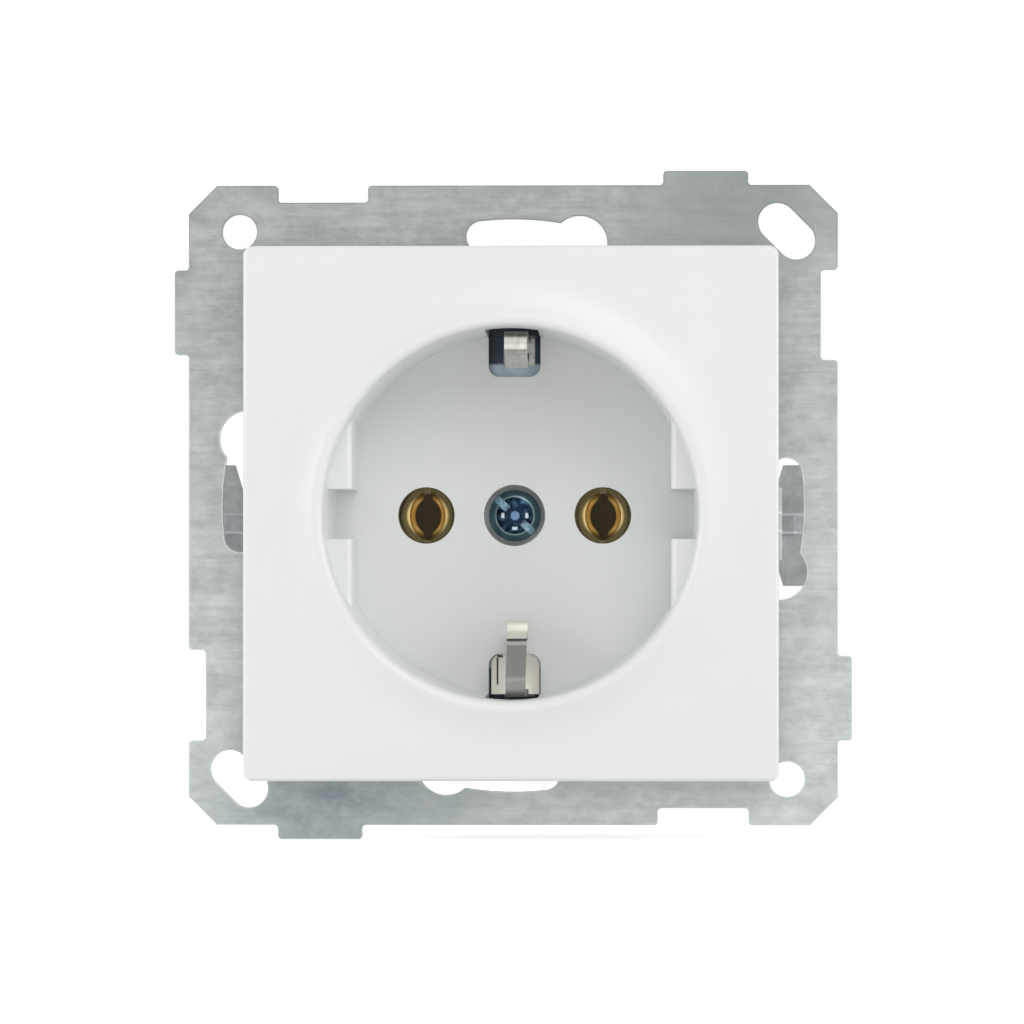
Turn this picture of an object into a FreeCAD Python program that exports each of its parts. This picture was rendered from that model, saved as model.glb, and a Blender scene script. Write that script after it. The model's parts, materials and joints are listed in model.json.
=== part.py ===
"""Type f wall socket for a round wall box, as a parametric document.

Millimetres. The wall plane is XZ at y = 0, the front faces -Y, +Z is up and X runs to the right.
The origin is the centre of the support frame on its rear face. The socket axis runs along Y, a little
below that centre.
"""

import FreeCAD
import Part

import math
import os

import Sketcher

# Driving sizes
SIZES = {
    # support frame
    "frame_side_margin": 6.5,
    "frame_top_margin": 6.0,
    "frame_sheet": 1.0,
    "frame_corner_cut": 3.0,
    "tab_start": 16.0,
    "tab_wide": 9.0,
    "tab_reach": 1.5,
    "notch_start": 15.4,
    "notch_wide": 9.6,
    "notch_depth": 1.8,
    "tab_corner_radius": 0.4,
    "corner_hole_margin": 1.1,
    "corner_hole_radius": 1.86,
    "corner_slot_radius": 2.04,
    "corner_slot_travel": 2.8,
    "box_slot_side_stand": 8.0,
    "box_slot_top_stand": 7.55,
    "box_slot_wide": 3.3,
    "box_slot_short_turn": 6.6,
    "box_slot_long_turn": 14.0,
    "slot_entry_radius": 2.95,
    "slot_entry_offset": 7.1,
    "slot_entry_inset": 2.6,
    "opening_gap": 0.8,
    # cover plate, measured from the wall plane and the socket axis
    "axis_drop": 1.0,
    "plate_margin": 3.0,
    "plate_front": 10.5,
    "plate_wall": 1.6,
    "plate_corner_radius": 1.0,
    "plate_edge_radius": 0.45,
    "skirt_lift": 3.4,
    "collar_rise": 1.0,
    "collar_run": 4.5,
    "lip_radius": 0.9,
    "well_radius": 19.6,
    "well_draft": 0.3,
    "well_floor": 6.0,
    "floor_wall": 2.0,
    "pot_wall": 1.6,
    "guide_reach": 2.8,
    "guide_gap": 5.3,
    "guide_front": 6.5,
    "guide_edge_radius": 0.6,
    "pin_pitch": 19.0,
    "pin_hole_radius": 3.05,
    "screw_well_radius": 3.3,
    "screw_boss_radius": 4.4,
    "screw_seat_depth": 3.2,
    "clip_opening_wide": 5.6,
    "clip_opening_reach": 4.7,
    "clip_opening_front": 7.0,
    "clip_opening_radius": 1.2,
    # strap that carries the block
    "strap_sheet": 1.2,
    "strap_wide": 9.0,
    "strap_level": 10.8,
    "strap_leg_gap": 0.5,
    "strap_flange": 4.6,
    "strap_bend_radius": 0.3,
    "strap_window_reach": 3.3,
    "strap_window_wide": 3.4,
    "strap_rivet_inset": 1.8,
    "strap_rivet_radius": 0.8,
    "strap_rivet_sink": 0.25,
    "strap_rivet_head_radius": 1.6,
    "strap_rivet_head_high": 0.7,
    # earth bow and its two clips
    "bow_sheet": 0.8,
    "bow_wide": 6.4,
    "clip_sheet": 0.6,
    "clip_top_wide": 2.4,
    "clip_bottom_wide": 2.1,
    "clip_shift": 0.4,
    "clip_gap": 0.3,
    "clip_front": 5.5,
    "clip_bend_high": 2.0,
    "clip_top_reach": 4.0,
    "clip_top_depth": 1.0,
    "clip_bottom_reach": 8.2,
    "clip_bottom_depth": 2.5,
    "clip_bend_radius": 0.8,
    "clip_nose_radius": 0.9,
    "clip_tail_depth": 5.0,
    "clip_tail_lift": 1.2,
    "cheek_wide": 5.2,
    "cheek_level": 9.4,
    "cheek_reach": 4.6,
    "cheek_radius": 1.1,
    # line and neutral contacts
    "contact_front": 9.6,
    "contact_rear": 20.6,
    "contact_sheet": 0.7,
    "ring_bore": 2.6,
    "ring_long": 2.1,
    "leaf_root_bore": 2.37,
    "leaf_bore": 2.2,
    "leaf_mouth_bore": 2.9,
    "leaf_mouth_long": 1.6,
    "leaf_pinch_turn": 6.0,
    "leaf_slit": 2.6,
    "tail_sheet": 0.8,
    "tail_wide": 6.0,
    # terminals
    "terminal_place": 13.0,
    "terminal_screw_level": 25.0,
    "lug_rear": 29.7,
    "wire_gap": 1.9,
    "saddle_sheet": 1.0,
    "saddle_long": 6.6,
    "saddle_lip": 0.7,
    "wire_entry_radius": 1.7,
    "wire_entry_pitch": 4.4,
    # moulded block and rear cover
    "block_end_gap": 0.3,
    "block_front": 8.3,
    "block_rear": 30.0,
    "block_corner_radius": 5.0,
    "block_face_wall": 1.0,
    "rear_cover_sheet": 2.0,
    "rear_cover_inset": 0.4,
    "chamber_radius": 3.9,
    "chamber_mouth_radius": 3.5,
    "chamber_wide": 7.6,
    "base_rivet_place": 11.5,
    "base_rivet_radius": 1.5,
    "base_rivet_bore": 0.9,
    "base_rivet_head_radius": 2.4,
    "base_rivet_head_high": 0.6,
    # screws
    "screw_radius": 1.5,
    "screw_tip_cut": 0.4,
    "cover_screw_head_radius": 2.775,
    "cover_screw_head_high": 2.2,
    "cover_screw_long": 7.0,
    "cover_screw_turn": 43.0,
    "terminal_head_radius": 2.7,
    "terminal_head_high": 2.0,
    "terminal_screw_long": 7.4,
    "claw_head_radius": 2.8,
    "claw_head_high": 1.6,
    "claw_screw_long": 13.4,
    "claw_screw_stand": 3.8,
    "recess_depth": 1.2,
    "recess_arm": 1.5,
    "recess_wide": 0.75,
    "slot_depth": 0.7,
    "slot_wide": 0.8,
    # spreading claws
    "claw_drop": 0.9,
    "claw_pivot_inset": 2.5,
    "claw_pivot_stand": 3.5,
    "claw_pivot_level": 12.0,
    "claw_pin_radius": 1.2,
    "claw_sheet": 1.2,
    "claw_wide": 7.8,
    "claw_web_place": 0.7,
    "claw_arm_lift": 1.7,
    "claw_arm_reach": 7.0,
    "claw_leg_long": 15.0,
    "claw_slot_start": 0.85,
    "claw_slot_long": 5.15,
    "claw_flange_reach": 2.6,
    "claw_flange_long": 9.0,
    "claw_flare_start": 2.5,
    "claw_horn_start": 3.4,
    "claw_horn_half": 6.7,
    "claw_horn_reach": 7.3,
    "claw_horn_blunt": 0.8,
    "claw_notch_reach": 5.9,
    "claw_rib_start": 0.9,
    "claw_rib_long": 3.9,
    "claw_rib_wide": 1.9,
    "claw_rib_rise": 0.35,
    "claw_bend_radius": 0.9,
    "claw_left_turn": 25.0,
    "claw_right_turn": 15.0,
    "ear_sheet": 1.5,
    "ear_radius": 2.2,
    "ear_root_half": 3.1,
    "ear_root_depth": 1.0,
    # clearances
    "pivot_gap": 0.05,
    "thread_gap": 0.05,
    "fit_gap": 0.1,
    "side_gap": 0.2,
    "run_gap": 0.3,
}

document = FreeCAD.newDocument("wall_socket")
sheet = document.addObject("Spreadsheet::Sheet", "Sizes")
for row, (alias, number) in enumerate(SIZES.items(), start=1):
    sheet.set(f"A{row}", alias)
    sheet.set(f"B{row}", str(number))
    sheet.setAlias(f"B{row}", alias)
document.recompute()


class Size:
    """A length or an angle: its number now, and the expression that keeps it bound to the sheet."""

    def __init__(self, number, words):
        self.number = number
        self.words = words

    def __add__(self, other):
        other = as_size(other)
        return Size(self.number + other.number, f"({self.words} + {other.words})")

    def __sub__(self, other):
        other = as_size(other)
        return Size(self.number - other.number, f"({self.words} - {other.words})")

    def __mul__(self, other):
        other = as_size(other)
        return Size(self.number * other.number, f"({self.words} * {other.words})")

    def __truediv__(self, other):
        other = as_size(other)
        return Size(self.number / other.number, f"({self.words} / {other.words})")

    def __radd__(self, other):
        return as_size(other) + self

    def __rsub__(self, other):
        return as_size(other) - self

    def __rmul__(self, other):
        return as_size(other) * self

    def __neg__(self):
        return Size(-self.number, f"(-1 * {self.words})")


def as_size(value):
    """A plain number as a Size, so that both kinds can be mixed in a sum."""
    if isinstance(value, Size):
        return value
    return Size(float(value), f"({float(value)})")


def size(alias):
    """The sheet's value of that name."""
    return Size(float(sheet.get(alias)), f"Sizes.{alias}")


def root(value):
    return Size(math.sqrt(value.number), f"sqrt({value.words})")


def sine(turn):
    return Size(math.sin(math.radians(turn.number)), f"sin({turn.words} * 1deg)")


def cosine(turn):
    return Size(math.cos(math.radians(turn.number)), f"cos({turn.words} * 1deg)")


def bind(thing, path, value):
    """Tie one property of an object to the sheet."""
    thing.setExpression(path, as_size(value).words)


def place(thing, across=0.0, depth=0.0, up=0.0):
    """Tie the placement of an object to the sheet."""
    bind(thing, "Placement.Base.x", across)
    bind(thing, "Placement.Base.y", depth)
    bind(thing, "Placement.Base.z", up)


def turn(thing, axis, angle):
    """Turn an object about an axis through its own origin."""
    thing.Placement = FreeCAD.Placement(thing.Placement.Base, FreeCAD.Rotation(axis, 1.0))
    bind(thing, "Placement.Rotation.Angle", angle)


AXIS_X = FreeCAD.Vector(1, 0, 0)
AXIS_Y = FreeCAD.Vector(0, 1, 0)
AXIS_Z = FreeCAD.Vector(0, 0, 1)

# Sketches: a loop is a circle or a ring of corners, and a corner may be reached by an arc


class Circle:
    def __init__(self, across, up, radius):
        self.centre = (as_size(across), as_size(up))
        self.radius = as_size(radius)


class ArcTo:
    """A corner reached by an arc. With left, the centre lies to the left of the way there."""

    def __init__(self, across, up, radius, left=True):
        self.end = (as_size(across), as_size(up))
        self.radius = as_size(radius)
        self.left = left


def rectangle(across_low, across_high, up_low, up_high):
    return [(across_low, up_low), (across_high, up_low), (across_high, up_high), (across_low, up_high)]


def arc_between(start, end, radius, left):
    """The arc of a circle through two points, and whether it runs from the second to the first."""
    middle = (start + end) * 0.5
    chord = end - start
    across = FreeCAD.Vector(-chord.y, chord.x, 0).normalize()
    reach = math.sqrt(max(radius**2 - (chord.Length / 2) ** 2, 0.0))
    centre = middle + across * (reach if left else -reach)
    first, last = (start, end) if left else (end, start)
    first_turn = math.atan2(first.y - centre.y, first.x - centre.x)
    last_turn = math.atan2(last.y - centre.y, last.x - centre.x)
    circle = Part.Circle(centre, AXIS_Z, radius)
    return Part.ArcOfCircle(circle, first_turn, last_turn)


def fix_point(sketch, geometry, corner, point):
    """Hold one point of a sketch at its place from the sketch's origin."""
    for kind, value in (("DistanceX", point[0]), ("DistanceY", point[1])):
        index = sketch.addConstraint(Sketcher.Constraint(kind, -1, 1, geometry, corner, value.number))
        bind(sketch, f"Constraints[{index}]", value)


def fix_radius(sketch, geometry, radius):
    index = sketch.addConstraint(Sketcher.Constraint("Radius", geometry, radius.number))
    bind(sketch, f"Constraints[{index}]", radius)


def draw_loop(sketch, loop):
    if isinstance(loop, Circle):
        centre = FreeCAD.Vector(loop.centre[0].number, loop.centre[1].number, 0)
        geometry = sketch.addGeometry(Part.Circle(centre, AXIS_Z, loop.radius.number), False)
        fix_point(sketch, geometry, 3, loop.centre)
        fix_radius(sketch, geometry, loop.radius)
        return
    ends = [c.end if isinstance(c, ArcTo) else (as_size(c[0]), as_size(c[1])) for c in loop]
    spots = [FreeCAD.Vector(e[0].number, e[1].number, 0) for e in ends]
    starts = []
    stops = []
    for index, corner in enumerate(loop):
        start, end = spots[index - 1], spots[index]
        if isinstance(corner, ArcTo):
            arc = arc_between(start, end, corner.radius.number, corner.left)
            geometry = sketch.addGeometry(arc, False)
            starts.append((geometry, 1 if corner.left else 2))
            stops.append((geometry, 2 if corner.left else 1))
        else:
            geometry = sketch.addGeometry(Part.LineSegment(start, end), False)
            starts.append((geometry, 1))
            stops.append((geometry, 2))
    for index, end in enumerate(ends):
        after = (index + 1) % len(loop)
        join = Sketcher.Constraint("Coincident", *stops[index], *starts[after])
        sketch.addConstraint(join)
        fix_point(sketch, *stops[index], end)
    for index, corner in enumerate(loop):
        if isinstance(corner, ArcTo):
            fix_radius(sketch, stops[index][0], corner.radius)


PLANES = {"XY": ("XY_Plane", 1), "XZ": ("XZ_Plane", -1), "YZ": ("YZ_Plane", 1)}


def sketch_on(body, name, plane, level, loops):
    """A sketch on an origin plane of the body, moved to a level along the axis across that plane."""
    role, way = PLANES[plane]
    support = [f for f in body.Origin.OriginFeatures if f.Role == role][0]
    sketch = body.newObject("Sketcher::SketchObject", name)
    sketch.AttachmentSupport = [(support, "")]
    sketch.MapMode = "FlatFace"
    bind(sketch, "AttachmentOffset.Base.z", way * as_size(level))
    for loop in loops:
        draw_loop(sketch, loop)
    return sketch


def new_body(name):
    body = document.addObject("PartDesign::Body", name)
    body.Label = name
    return body


def pad(body, name, plane, low, high, loops):
    """Add the loops between two levels along the axis across the plane."""
    flipped = PLANES[plane][1] < 0
    sketch = sketch_on(body, f"{name}_sketch", plane, high if flipped else low, loops)
    feature = body.newObject("PartDesign::Pad", name)
    feature.Profile = sketch
    bind(feature, "Length", as_size(high) - low)
    return feature


def pocket(body, name, plane, low, high, loops):
    """Cut the loops away between two levels along the axis across the plane."""
    flipped = PLANES[plane][1] < 0
    sketch = sketch_on(body, f"{name}_sketch", plane, low if flipped else high, loops)
    feature = body.newObject("PartDesign::Pocket", name)
    feature.Profile = sketch
    bind(feature, "Length", as_size(high) - low)
    return feature


def revolve(body, name, loop):
    """Turn a loop of (radius, depth) corners round the Y axis."""
    sketch = sketch_on(body, f"{name}_sketch", "XY", 0.0, [loop])
    feature = body.newObject("PartDesign::Revolution", name)
    feature.Profile = sketch
    feature.ReferenceAxis = (sketch, ["V_Axis"])
    feature.Angle = 360.0
    return feature


def repeat_round(body, name, feature, copies):
    """Repeat a feature round the Y axis."""
    pattern = body.newObject("PartDesign::PolarPattern", name)
    axis = [f for f in body.Origin.OriginFeatures if f.Role == "Y_Axis"][0]
    pattern.Originals = [feature]
    pattern.Axis = (axis, [""])
    pattern.Angle = 360.0
    pattern.Occurrences = copies
    body.Tip = pattern
    return pattern


def finish_edges(body, name, kind, radius, chosen):
    """Round or bevel the edges of the body that the test picks out."""
    document.recompute()
    base = body.Tip
    names = [f"Edge{i}" for i, edge in enumerate(base.Shape.Edges, start=1) if chosen(edge)]
    if not names:
        raise ValueError(f"{body.Label}: no edge for {name}")
    feature = body.newObject(f"PartDesign::{kind}", name)
    feature.Base = (base, names)
    bind(feature, "Radius" if kind == "Fillet" else "Size", radius)
    return feature


def runs_along(edge, axis):
    """Whether an edge is straight and parallel to the axis with that number."""
    if not isinstance(edge.Curve, Part.Line):
        return False
    return abs(abs(edge.Curve.Direction[axis]) - 1.0) < 1e-6


def near(value, target, slack=1e-3):
    return abs(value - as_size(target).number) < slack


# Levels along Y and places from the socket axis that several pieces share

PLATE_FACE = -size("plate_front")
FRAME_FACE = -size("frame_sheet")
FLOOR_BACK = size("well_floor") + size("floor_wall")
PLATE_BACK = PLATE_FACE + size("plate_wall")
LIP_LEVEL = PLATE_FACE - size("collar_rise") + size("lip_radius")
WELL = size("well_radius")
WELL_FOOT = WELL - size("well_draft")
SEAM_RADIUS = WELL - size("well_draft") * (PLATE_BACK - LIP_LEVEL) / (size("well_floor") - LIP_LEVEL)
COLLAR_REACH = WELL + size("lip_radius") + size("collar_run")
PLATE_HALF = COLLAR_REACH + size("plate_margin")
FRAME_HALF_WIDE = PLATE_HALF + size("frame_side_margin")
FRAME_HALF_HIGH = PLATE_HALF + size("frame_top_margin")
POT_RADIUS = WELL + size("pot_wall")
GUIDE_FACE = WELL - size("guide_reach")
CLIP_OPENING_START = WELL - size("clip_opening_reach")
CLIP_FACE = WELL - size("clip_gap")
CHEEK_START = WELL - size("cheek_reach")
SCREW_SEAT = size("well_floor") + size("screw_seat_depth")
STRAP_BACK = size("strap_level") + size("strap_sheet")
BOW_BACK = STRAP_BACK + size("bow_sheet")
LEG_INNER = POT_RADIUS + size("strap_leg_gap")
LEG_OUTER = LEG_INNER + size("strap_sheet")
STRAP_RIVET_PLACE = LEG_OUTER + size("strap_rivet_inset")
CLAW_SCREW_PLACE = POT_RADIUS + size("claw_screw_stand")
CLAW_PIVOT_PLACE = CLAW_SCREW_PLACE - size("claw_pivot_inset")
BLOCK_HALF_WIDE = CLAW_PIVOT_PLACE - size("claw_pivot_stand")
BLOCK_HALF_HIGH = POT_RADIUS + size("block_end_gap")
REAR_FACE = size("block_rear") + size("rear_cover_sheet")
PIN_PLACE = size("pin_pitch") / 2
LUG_FACE = size("terminal_place") + size("tail_sheet")
SADDLE_FACE = LUG_FACE + size("wire_gap")
SADDLE_BACK = SADDLE_FACE + size("saddle_sheet")
SIDES = (-1, 1)
OVERRUN = 1.0


def on_socket_axis(thing):
    place(thing, up=-size("axis_drop"))


# Support frame


def frame_outline():
    """One closed loop: each side has a notch and then a tab on the way round, clockwise from the front."""
    half_wide = FRAME_HALF_WIDE
    half_high = FRAME_HALF_HIGH
    notch_end = size("notch_start") + size("notch_wide")
    tab_end = size("tab_start") + size("tab_wide")
    ways = (
        ((1, 0), (0, 1), half_wide, half_high),
        ((0, -1), (1, 0), half_high, half_wide),
        ((-1, 0), (0, -1), half_wide, half_high),
        ((0, 1), (-1, 0), half_high, half_wide),
    )
    corners = []
    for along, outward, half_long, edge in ways:
        dented = edge - size("notch_depth")
        raised = edge + size("tab_reach")
        stations = (
            (size("frame_corner_cut") - half_long, edge),
            (-notch_end, edge),
            (-notch_end, dented),
            (-size("notch_start"), dented),
            (-size("notch_start"), edge),
            (size("tab_start"), edge),
            (size("tab_start"), raised),
            (tab_end, raised),
            (tab_end, edge),
            (half_long - size("frame_corner_cut"), edge),
        )
        for step, reach in stations:
            across = step * along[0] if along[0] else reach * outward[0]
            up = step * along[1] if along[1] else reach * outward[1]
            corners.append((across, up))
    return corners


def long_hole(start, end, radius):
    """A round-ended slot between two centres, as one loop. Each end is two quarter arcs."""
    run = (end[0] - start[0], end[1] - start[1])
    length = root(run[0] * run[0] + run[1] * run[1])
    ahead = (run[0] / length * radius, run[1] / length * radius)
    side = (-ahead[1], ahead[0])
    return [
        (end[0] - side[0], end[1] - side[1]),
        ArcTo(end[0] + ahead[0], end[1] + ahead[1], radius),
        ArcTo(end[0] + side[0], end[1] + side[1], radius),
        (start[0] + side[0], start[1] + side[1]),
        ArcTo(start[0] - ahead[0], start[1] - ahead[1], radius),
        ArcTo(start[0] - side[0], start[1] - side[1], radius),
    ]


def at_top(across, up):
    return (across, up)


def at_side(across, up):
    """The same spot after a quarter turn, clockwise from the front."""
    return (up, -across)


def box_slot(turned, outer):
    """The arc slot for a wall box screw. Its round end and its entry are holes of their own."""
    inner = outer - size("box_slot_wide")
    short = size("box_slot_short_turn")
    long = size("box_slot_long_turn")
    return [
        turned(-outer * sine(short), outer * cosine(short)),
        ArcTo(*turned(outer * sine(long), outer * cosine(long)), outer, left=False),
        turned(inner * sine(long), inner * cosine(long)),
        ArcTo(*turned(-inner * sine(short), inner * cosine(short)), inner),
    ]


def cut_box_slots(body, word, turned, outer):
    """One slot with its ends, and its twin on the other side of the frame."""
    half = size("box_slot_wide") / 2
    short = size("box_slot_short_turn")
    pitch = outer - half
    end = Circle(*turned(-pitch * sine(short), pitch * cosine(short)), half)
    entry_up = outer - size("slot_entry_inset")
    entry = Circle(*turned(size("slot_entry_offset"), entry_up), size("slot_entry_radius"))
    for part_word, loop in (("slot", box_slot(turned, outer)), ("slot_end", end), ("slot_entry", entry)):
        hole = pocket(body, f"{word}_{part_word}", "XZ", FRAME_FACE, 0.0, [loop])
        repeat_round(body, f"{word}_{part_word}_pair", hole, 2)


def make_support_frame():
    body = new_body("support_frame")
    pad(body, "frame_plate", "XZ", FRAME_FACE, 0.0, [frame_outline()])
    cut_end = (FRAME_HALF_WIDE + FRAME_HALF_HIGH - size("frame_corner_cut")).number

    def tab_corner(edge):
        at = edge.CenterOfMass
        return runs_along(edge, 1) and abs(at.x) + abs(at.z) < cut_end - size("tab_corner_radius").number

    finish_edges(body, "tab_corners", "Fillet", size("tab_corner_radius"), tab_corner)
    drop = -size("axis_drop")
    opening = Circle(0.0, drop, POT_RADIUS + size("opening_gap"))
    pocket(body, "frame_opening", "XZ", FRAME_FACE, 0.0, [opening])
    half_leg = size("strap_wide") / 2 + size("run_gap")
    leg_end = LEG_OUTER + size("strap_bend_radius") + size("fit_gap")
    gate = [rectangle(-half_leg, half_leg, drop - leg_end, drop + leg_end)]
    pocket(body, "strap_gate", "XZ", FRAME_FACE, 0.0, gate)

    cut_box_slots(body, "top", at_top, LEG_OUTER + size("box_slot_top_stand"))
    cut_box_slots(body, "side", at_side, LEG_OUTER + size("box_slot_side_stand"))

    spot = PLATE_HALF + size("corner_hole_margin")
    radius = size("corner_hole_radius")
    step = size("corner_slot_travel") / 2 * cosine(as_size(45.0))
    holes = [Circle(-spot, spot, radius), Circle(spot, -spot, radius)]
    for side in SIDES:
        near_end = (side * spot - step, side * spot + step)
        far_end = (side * spot + step, side * spot - step)
        holes.append(long_hole(near_end, far_end, size("corner_slot_radius")))
    pocket(body, "corner_holes", "XZ", FRAME_FACE, 0.0, holes)

    rivet_radius = size("strap_rivet_radius") + size("thread_gap")
    rivets = [Circle(0.0, drop + side * STRAP_RIVET_PLACE, rivet_radius) for side in SIDES]
    pocket(body, "rivet_holes", "XZ", FRAME_FACE, 0.0, rivets)

    def rivet_rim(edge):
        round_edge = isinstance(edge.Curve, Part.Circle) and near(edge.Curve.Radius, rivet_radius)
        return round_edge and near(edge.CenterOfMass.y, 0.0)

    finish_edges(body, "rivet_sinks", "Chamfer", size("strap_rivet_sink"), rivet_rim)
    claw_radius = size("screw_radius") + size("fit_gap")
    claw_up = drop - size("claw_drop")
    claw_holes = [Circle(side * CLAW_SCREW_PLACE, claw_up, claw_radius) for side in SIDES]
    pocket(body, "claw_screw_holes", "XZ", FRAME_FACE, 0.0, claw_holes)
    return body


# Moulded cover: the plate with its collar, the tapered well wall and the well floor are one moulding.
# They are three solids that meet face to face, so that each keeps a simple form


def collar_section():
    """Section of the collar, as (radius, depth) corners: a rounded lip and a hollow flank."""
    lip = size("lip_radius")
    rise = size("collar_rise")
    run = size("collar_run")
    hollow = (run * run / rise + rise - 2 * lip) / 2
    crest_across = WELL + lip
    reach = hollow + lip
    return [
        (SEAM_RADIUS, PLATE_BACK),
        (WELL, LIP_LEVEL),
        ArcTo(crest_across + lip * run / reach, LIP_LEVEL - lip * (hollow - rise + lip) / reach, lip),
        ArcTo(COLLAR_REACH, PLATE_FACE, hollow, left=False),
        (COLLAR_REACH, PLATE_BACK),
    ]


def guide_pad(side, up):
    """One of the four pads that guide the plug, from its flat face out into the well wall."""
    face = GUIDE_FACE
    outer = WELL + size("pot_wall") / 2
    low = size("guide_gap") / 2
    high = root(outer * outer - face * face)
    low_end = root(outer * outer - low * low)
    return [
        (side * face, up * low),
        (side * low_end, up * low),
        ArcTo(side * face, up * high, outer, left=side * up > 0),
    ]


def make_cover_plate():
    body = new_body("cover_plate")
    half = PLATE_HALF
    inner = half - size("plate_wall")
    ring = COLLAR_REACH - size("collar_run") / 2
    face_loops = [rectangle(-half, half, -half, half), Circle(0.0, 0.0, ring)]
    pad(body, "plate_sheet", "XZ", PLATE_FACE, PLATE_BACK, face_loops)
    skirt_loops = [rectangle(-half, half, -half, half), rectangle(-inner, inner, -inner, inner)]
    pad(body, "plate_skirt", "XZ", PLATE_FACE, -size("skirt_lift"), skirt_loops)
    revolve(body, "collar", collar_section())

    def plate_corner(edge):
        at = edge.CenterOfMass
        return runs_along(edge, 1) and near(abs(at.x), half) and near(abs(at.z), half)

    finish_edges(body, "plate_corners", "Fillet", size("plate_corner_radius"), plate_corner)

    def plate_rim(edge):
        at = edge.CenterOfMass
        far = max(abs(at.x), abs(at.z)) > inner.number
        return far and near(edge.BoundBox.YMin, PLATE_FACE) and near(edge.BoundBox.YMax, PLATE_FACE)

    finish_edges(body, "plate_rim", "Fillet", size("plate_edge_radius"), plate_rim)
    on_socket_axis(body)
    return body


def clip_openings(body):
    """Cut the two openings for the earth clips through wall and floor."""
    gap = size("clip_opening_wide") / 2
    beyond = POT_RADIUS + size("fit_gap")
    for word, way in (("top", 1), ("bottom", -1)):
        low, high = sorted((way * CLIP_OPENING_START, way * beyond), key=lambda s: s.number)
        loops = [rectangle(-gap, gap, low, high)]
        pocket(body, f"{word}_clip_opening", "XZ", -size("clip_opening_front"), FLOOR_BACK, loops)


def make_well_wall():
    body = new_body("well_wall")
    section = [
        (WELL_FOOT, FLOOR_BACK),
        (WELL_FOOT, size("well_floor")),
        (SEAM_RADIUS, PLATE_BACK),
        (POT_RADIUS, PLATE_BACK),
        (POT_RADIUS, FLOOR_BACK),
    ]
    revolve(body, "wall_form", section)
    guides = [guide_pad(side, up) for side in SIDES for up in SIDES]
    pad(body, "guide_pads", "XZ", -size("guide_front"), size("well_floor"), guides)
    clip_openings(body)

    def guide_edge(edge):
        at = edge.CenterOfMass
        return runs_along(edge, 2) and near(at.y, -size("guide_front")) and near(abs(at.x), GUIDE_FACE)

    finish_edges(body, "guide_edges", "Fillet", size("guide_edge_radius"), guide_edge)
    on_socket_axis(body)
    return body


def make_well_floor():
    body = new_body("well_floor")
    disc = Circle(0.0, 0.0, WELL_FOOT)
    pad(body, "floor_disc", "XZ", size("well_floor"), FLOOR_BACK, [disc])
    boss = Circle(0.0, 0.0, size("screw_boss_radius"))
    pad(body, "screw_boss", "XZ", size("well_floor"), size("strap_level"), [boss])
    well = Circle(0.0, 0.0, size("screw_well_radius"))
    pocket(body, "screw_well", "XZ", size("well_floor"), SCREW_SEAT, [well])
    shank = Circle(0.0, 0.0, size("screw_radius") + size("run_gap"))
    pocket(body, "screw_way", "XZ", SCREW_SEAT, size("strap_level"), [shank])
    pins = [Circle(side * PIN_PLACE, 0.0, size("pin_hole_radius")) for side in SIDES]
    pocket(body, "pin_holes", "XZ", size("well_floor"), FLOOR_BACK, pins)
    clip_openings(body)
    gap = size("clip_opening_wide") / 2

    def clip_corner(edge):
        at = edge.CenterOfMass
        return runs_along(edge, 1) and near(abs(at.x), gap) and near(abs(at.z), CLIP_OPENING_START)

    finish_edges(body, "clip_corners", "Fillet", size("clip_opening_radius"), clip_corner)
    on_socket_axis(body)
    return body


# Screws, each modelled with the underside of its head at the origin and its shank along +Y


def make_screw(name, head_radius, head_high, shank_long):
    body = new_body(name)
    shank = size("screw_radius")
    tip = size("screw_tip_cut")
    crown = head_high / 3
    dome = (head_radius * head_radius + crown * crown) / (2 * crown)
    section = [
        (0.0, -head_high),
        ArcTo(head_radius, crown - head_high, dome),
        (head_radius, 0.0),
        (shank, 0.0),
        (shank, shank_long - tip),
        (shank - tip, shank_long),
        (0.0, shank_long),
    ]
    revolve(body, "screw_form", section)
    arm = size("recess_arm")
    half = size("recess_wide") / 2
    cross = [
        (-half, -arm),
        (half, -arm),
        (half, -half),
        (arm, -half),
        (arm, half),
        (half, half),
        (half, arm),
        (-half, arm),
        (-half, half),
        (-arm, half),
        (-arm, -half),
        (-half, -half),
    ]
    pocket(body, "cross_recess", "XZ", -head_high, size("recess_depth") - head_high, [cross])
    slot_half = size("slot_wide") / 2
    slot = rectangle(-head_radius, head_radius, -slot_half, slot_half)
    pocket(body, "slot_recess", "XZ", -head_high, size("slot_depth") - head_high, [slot])
    return body


def make_cover_screw():
    body = make_screw(
        "cover_screw",
        size("cover_screw_head_radius"),
        size("cover_screw_head_high"),
        size("cover_screw_long"),
    )
    turn(body, AXIS_Y, size("cover_screw_turn"))
    place(body, depth=SCREW_SEAT, up=-size("axis_drop"))


def make_claw_screw(name, side):
    body = make_screw(name, size("claw_head_radius"), size("claw_head_high"), size("claw_screw_long"))
    seat = FRAME_FACE - size("pivot_gap")
    up = -size("axis_drop") - size("claw_drop")
    place(body, across=side * CLAW_SCREW_PLACE, depth=seat, up=up)


# Strap, its rivets and the hollow rivets of the block


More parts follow.
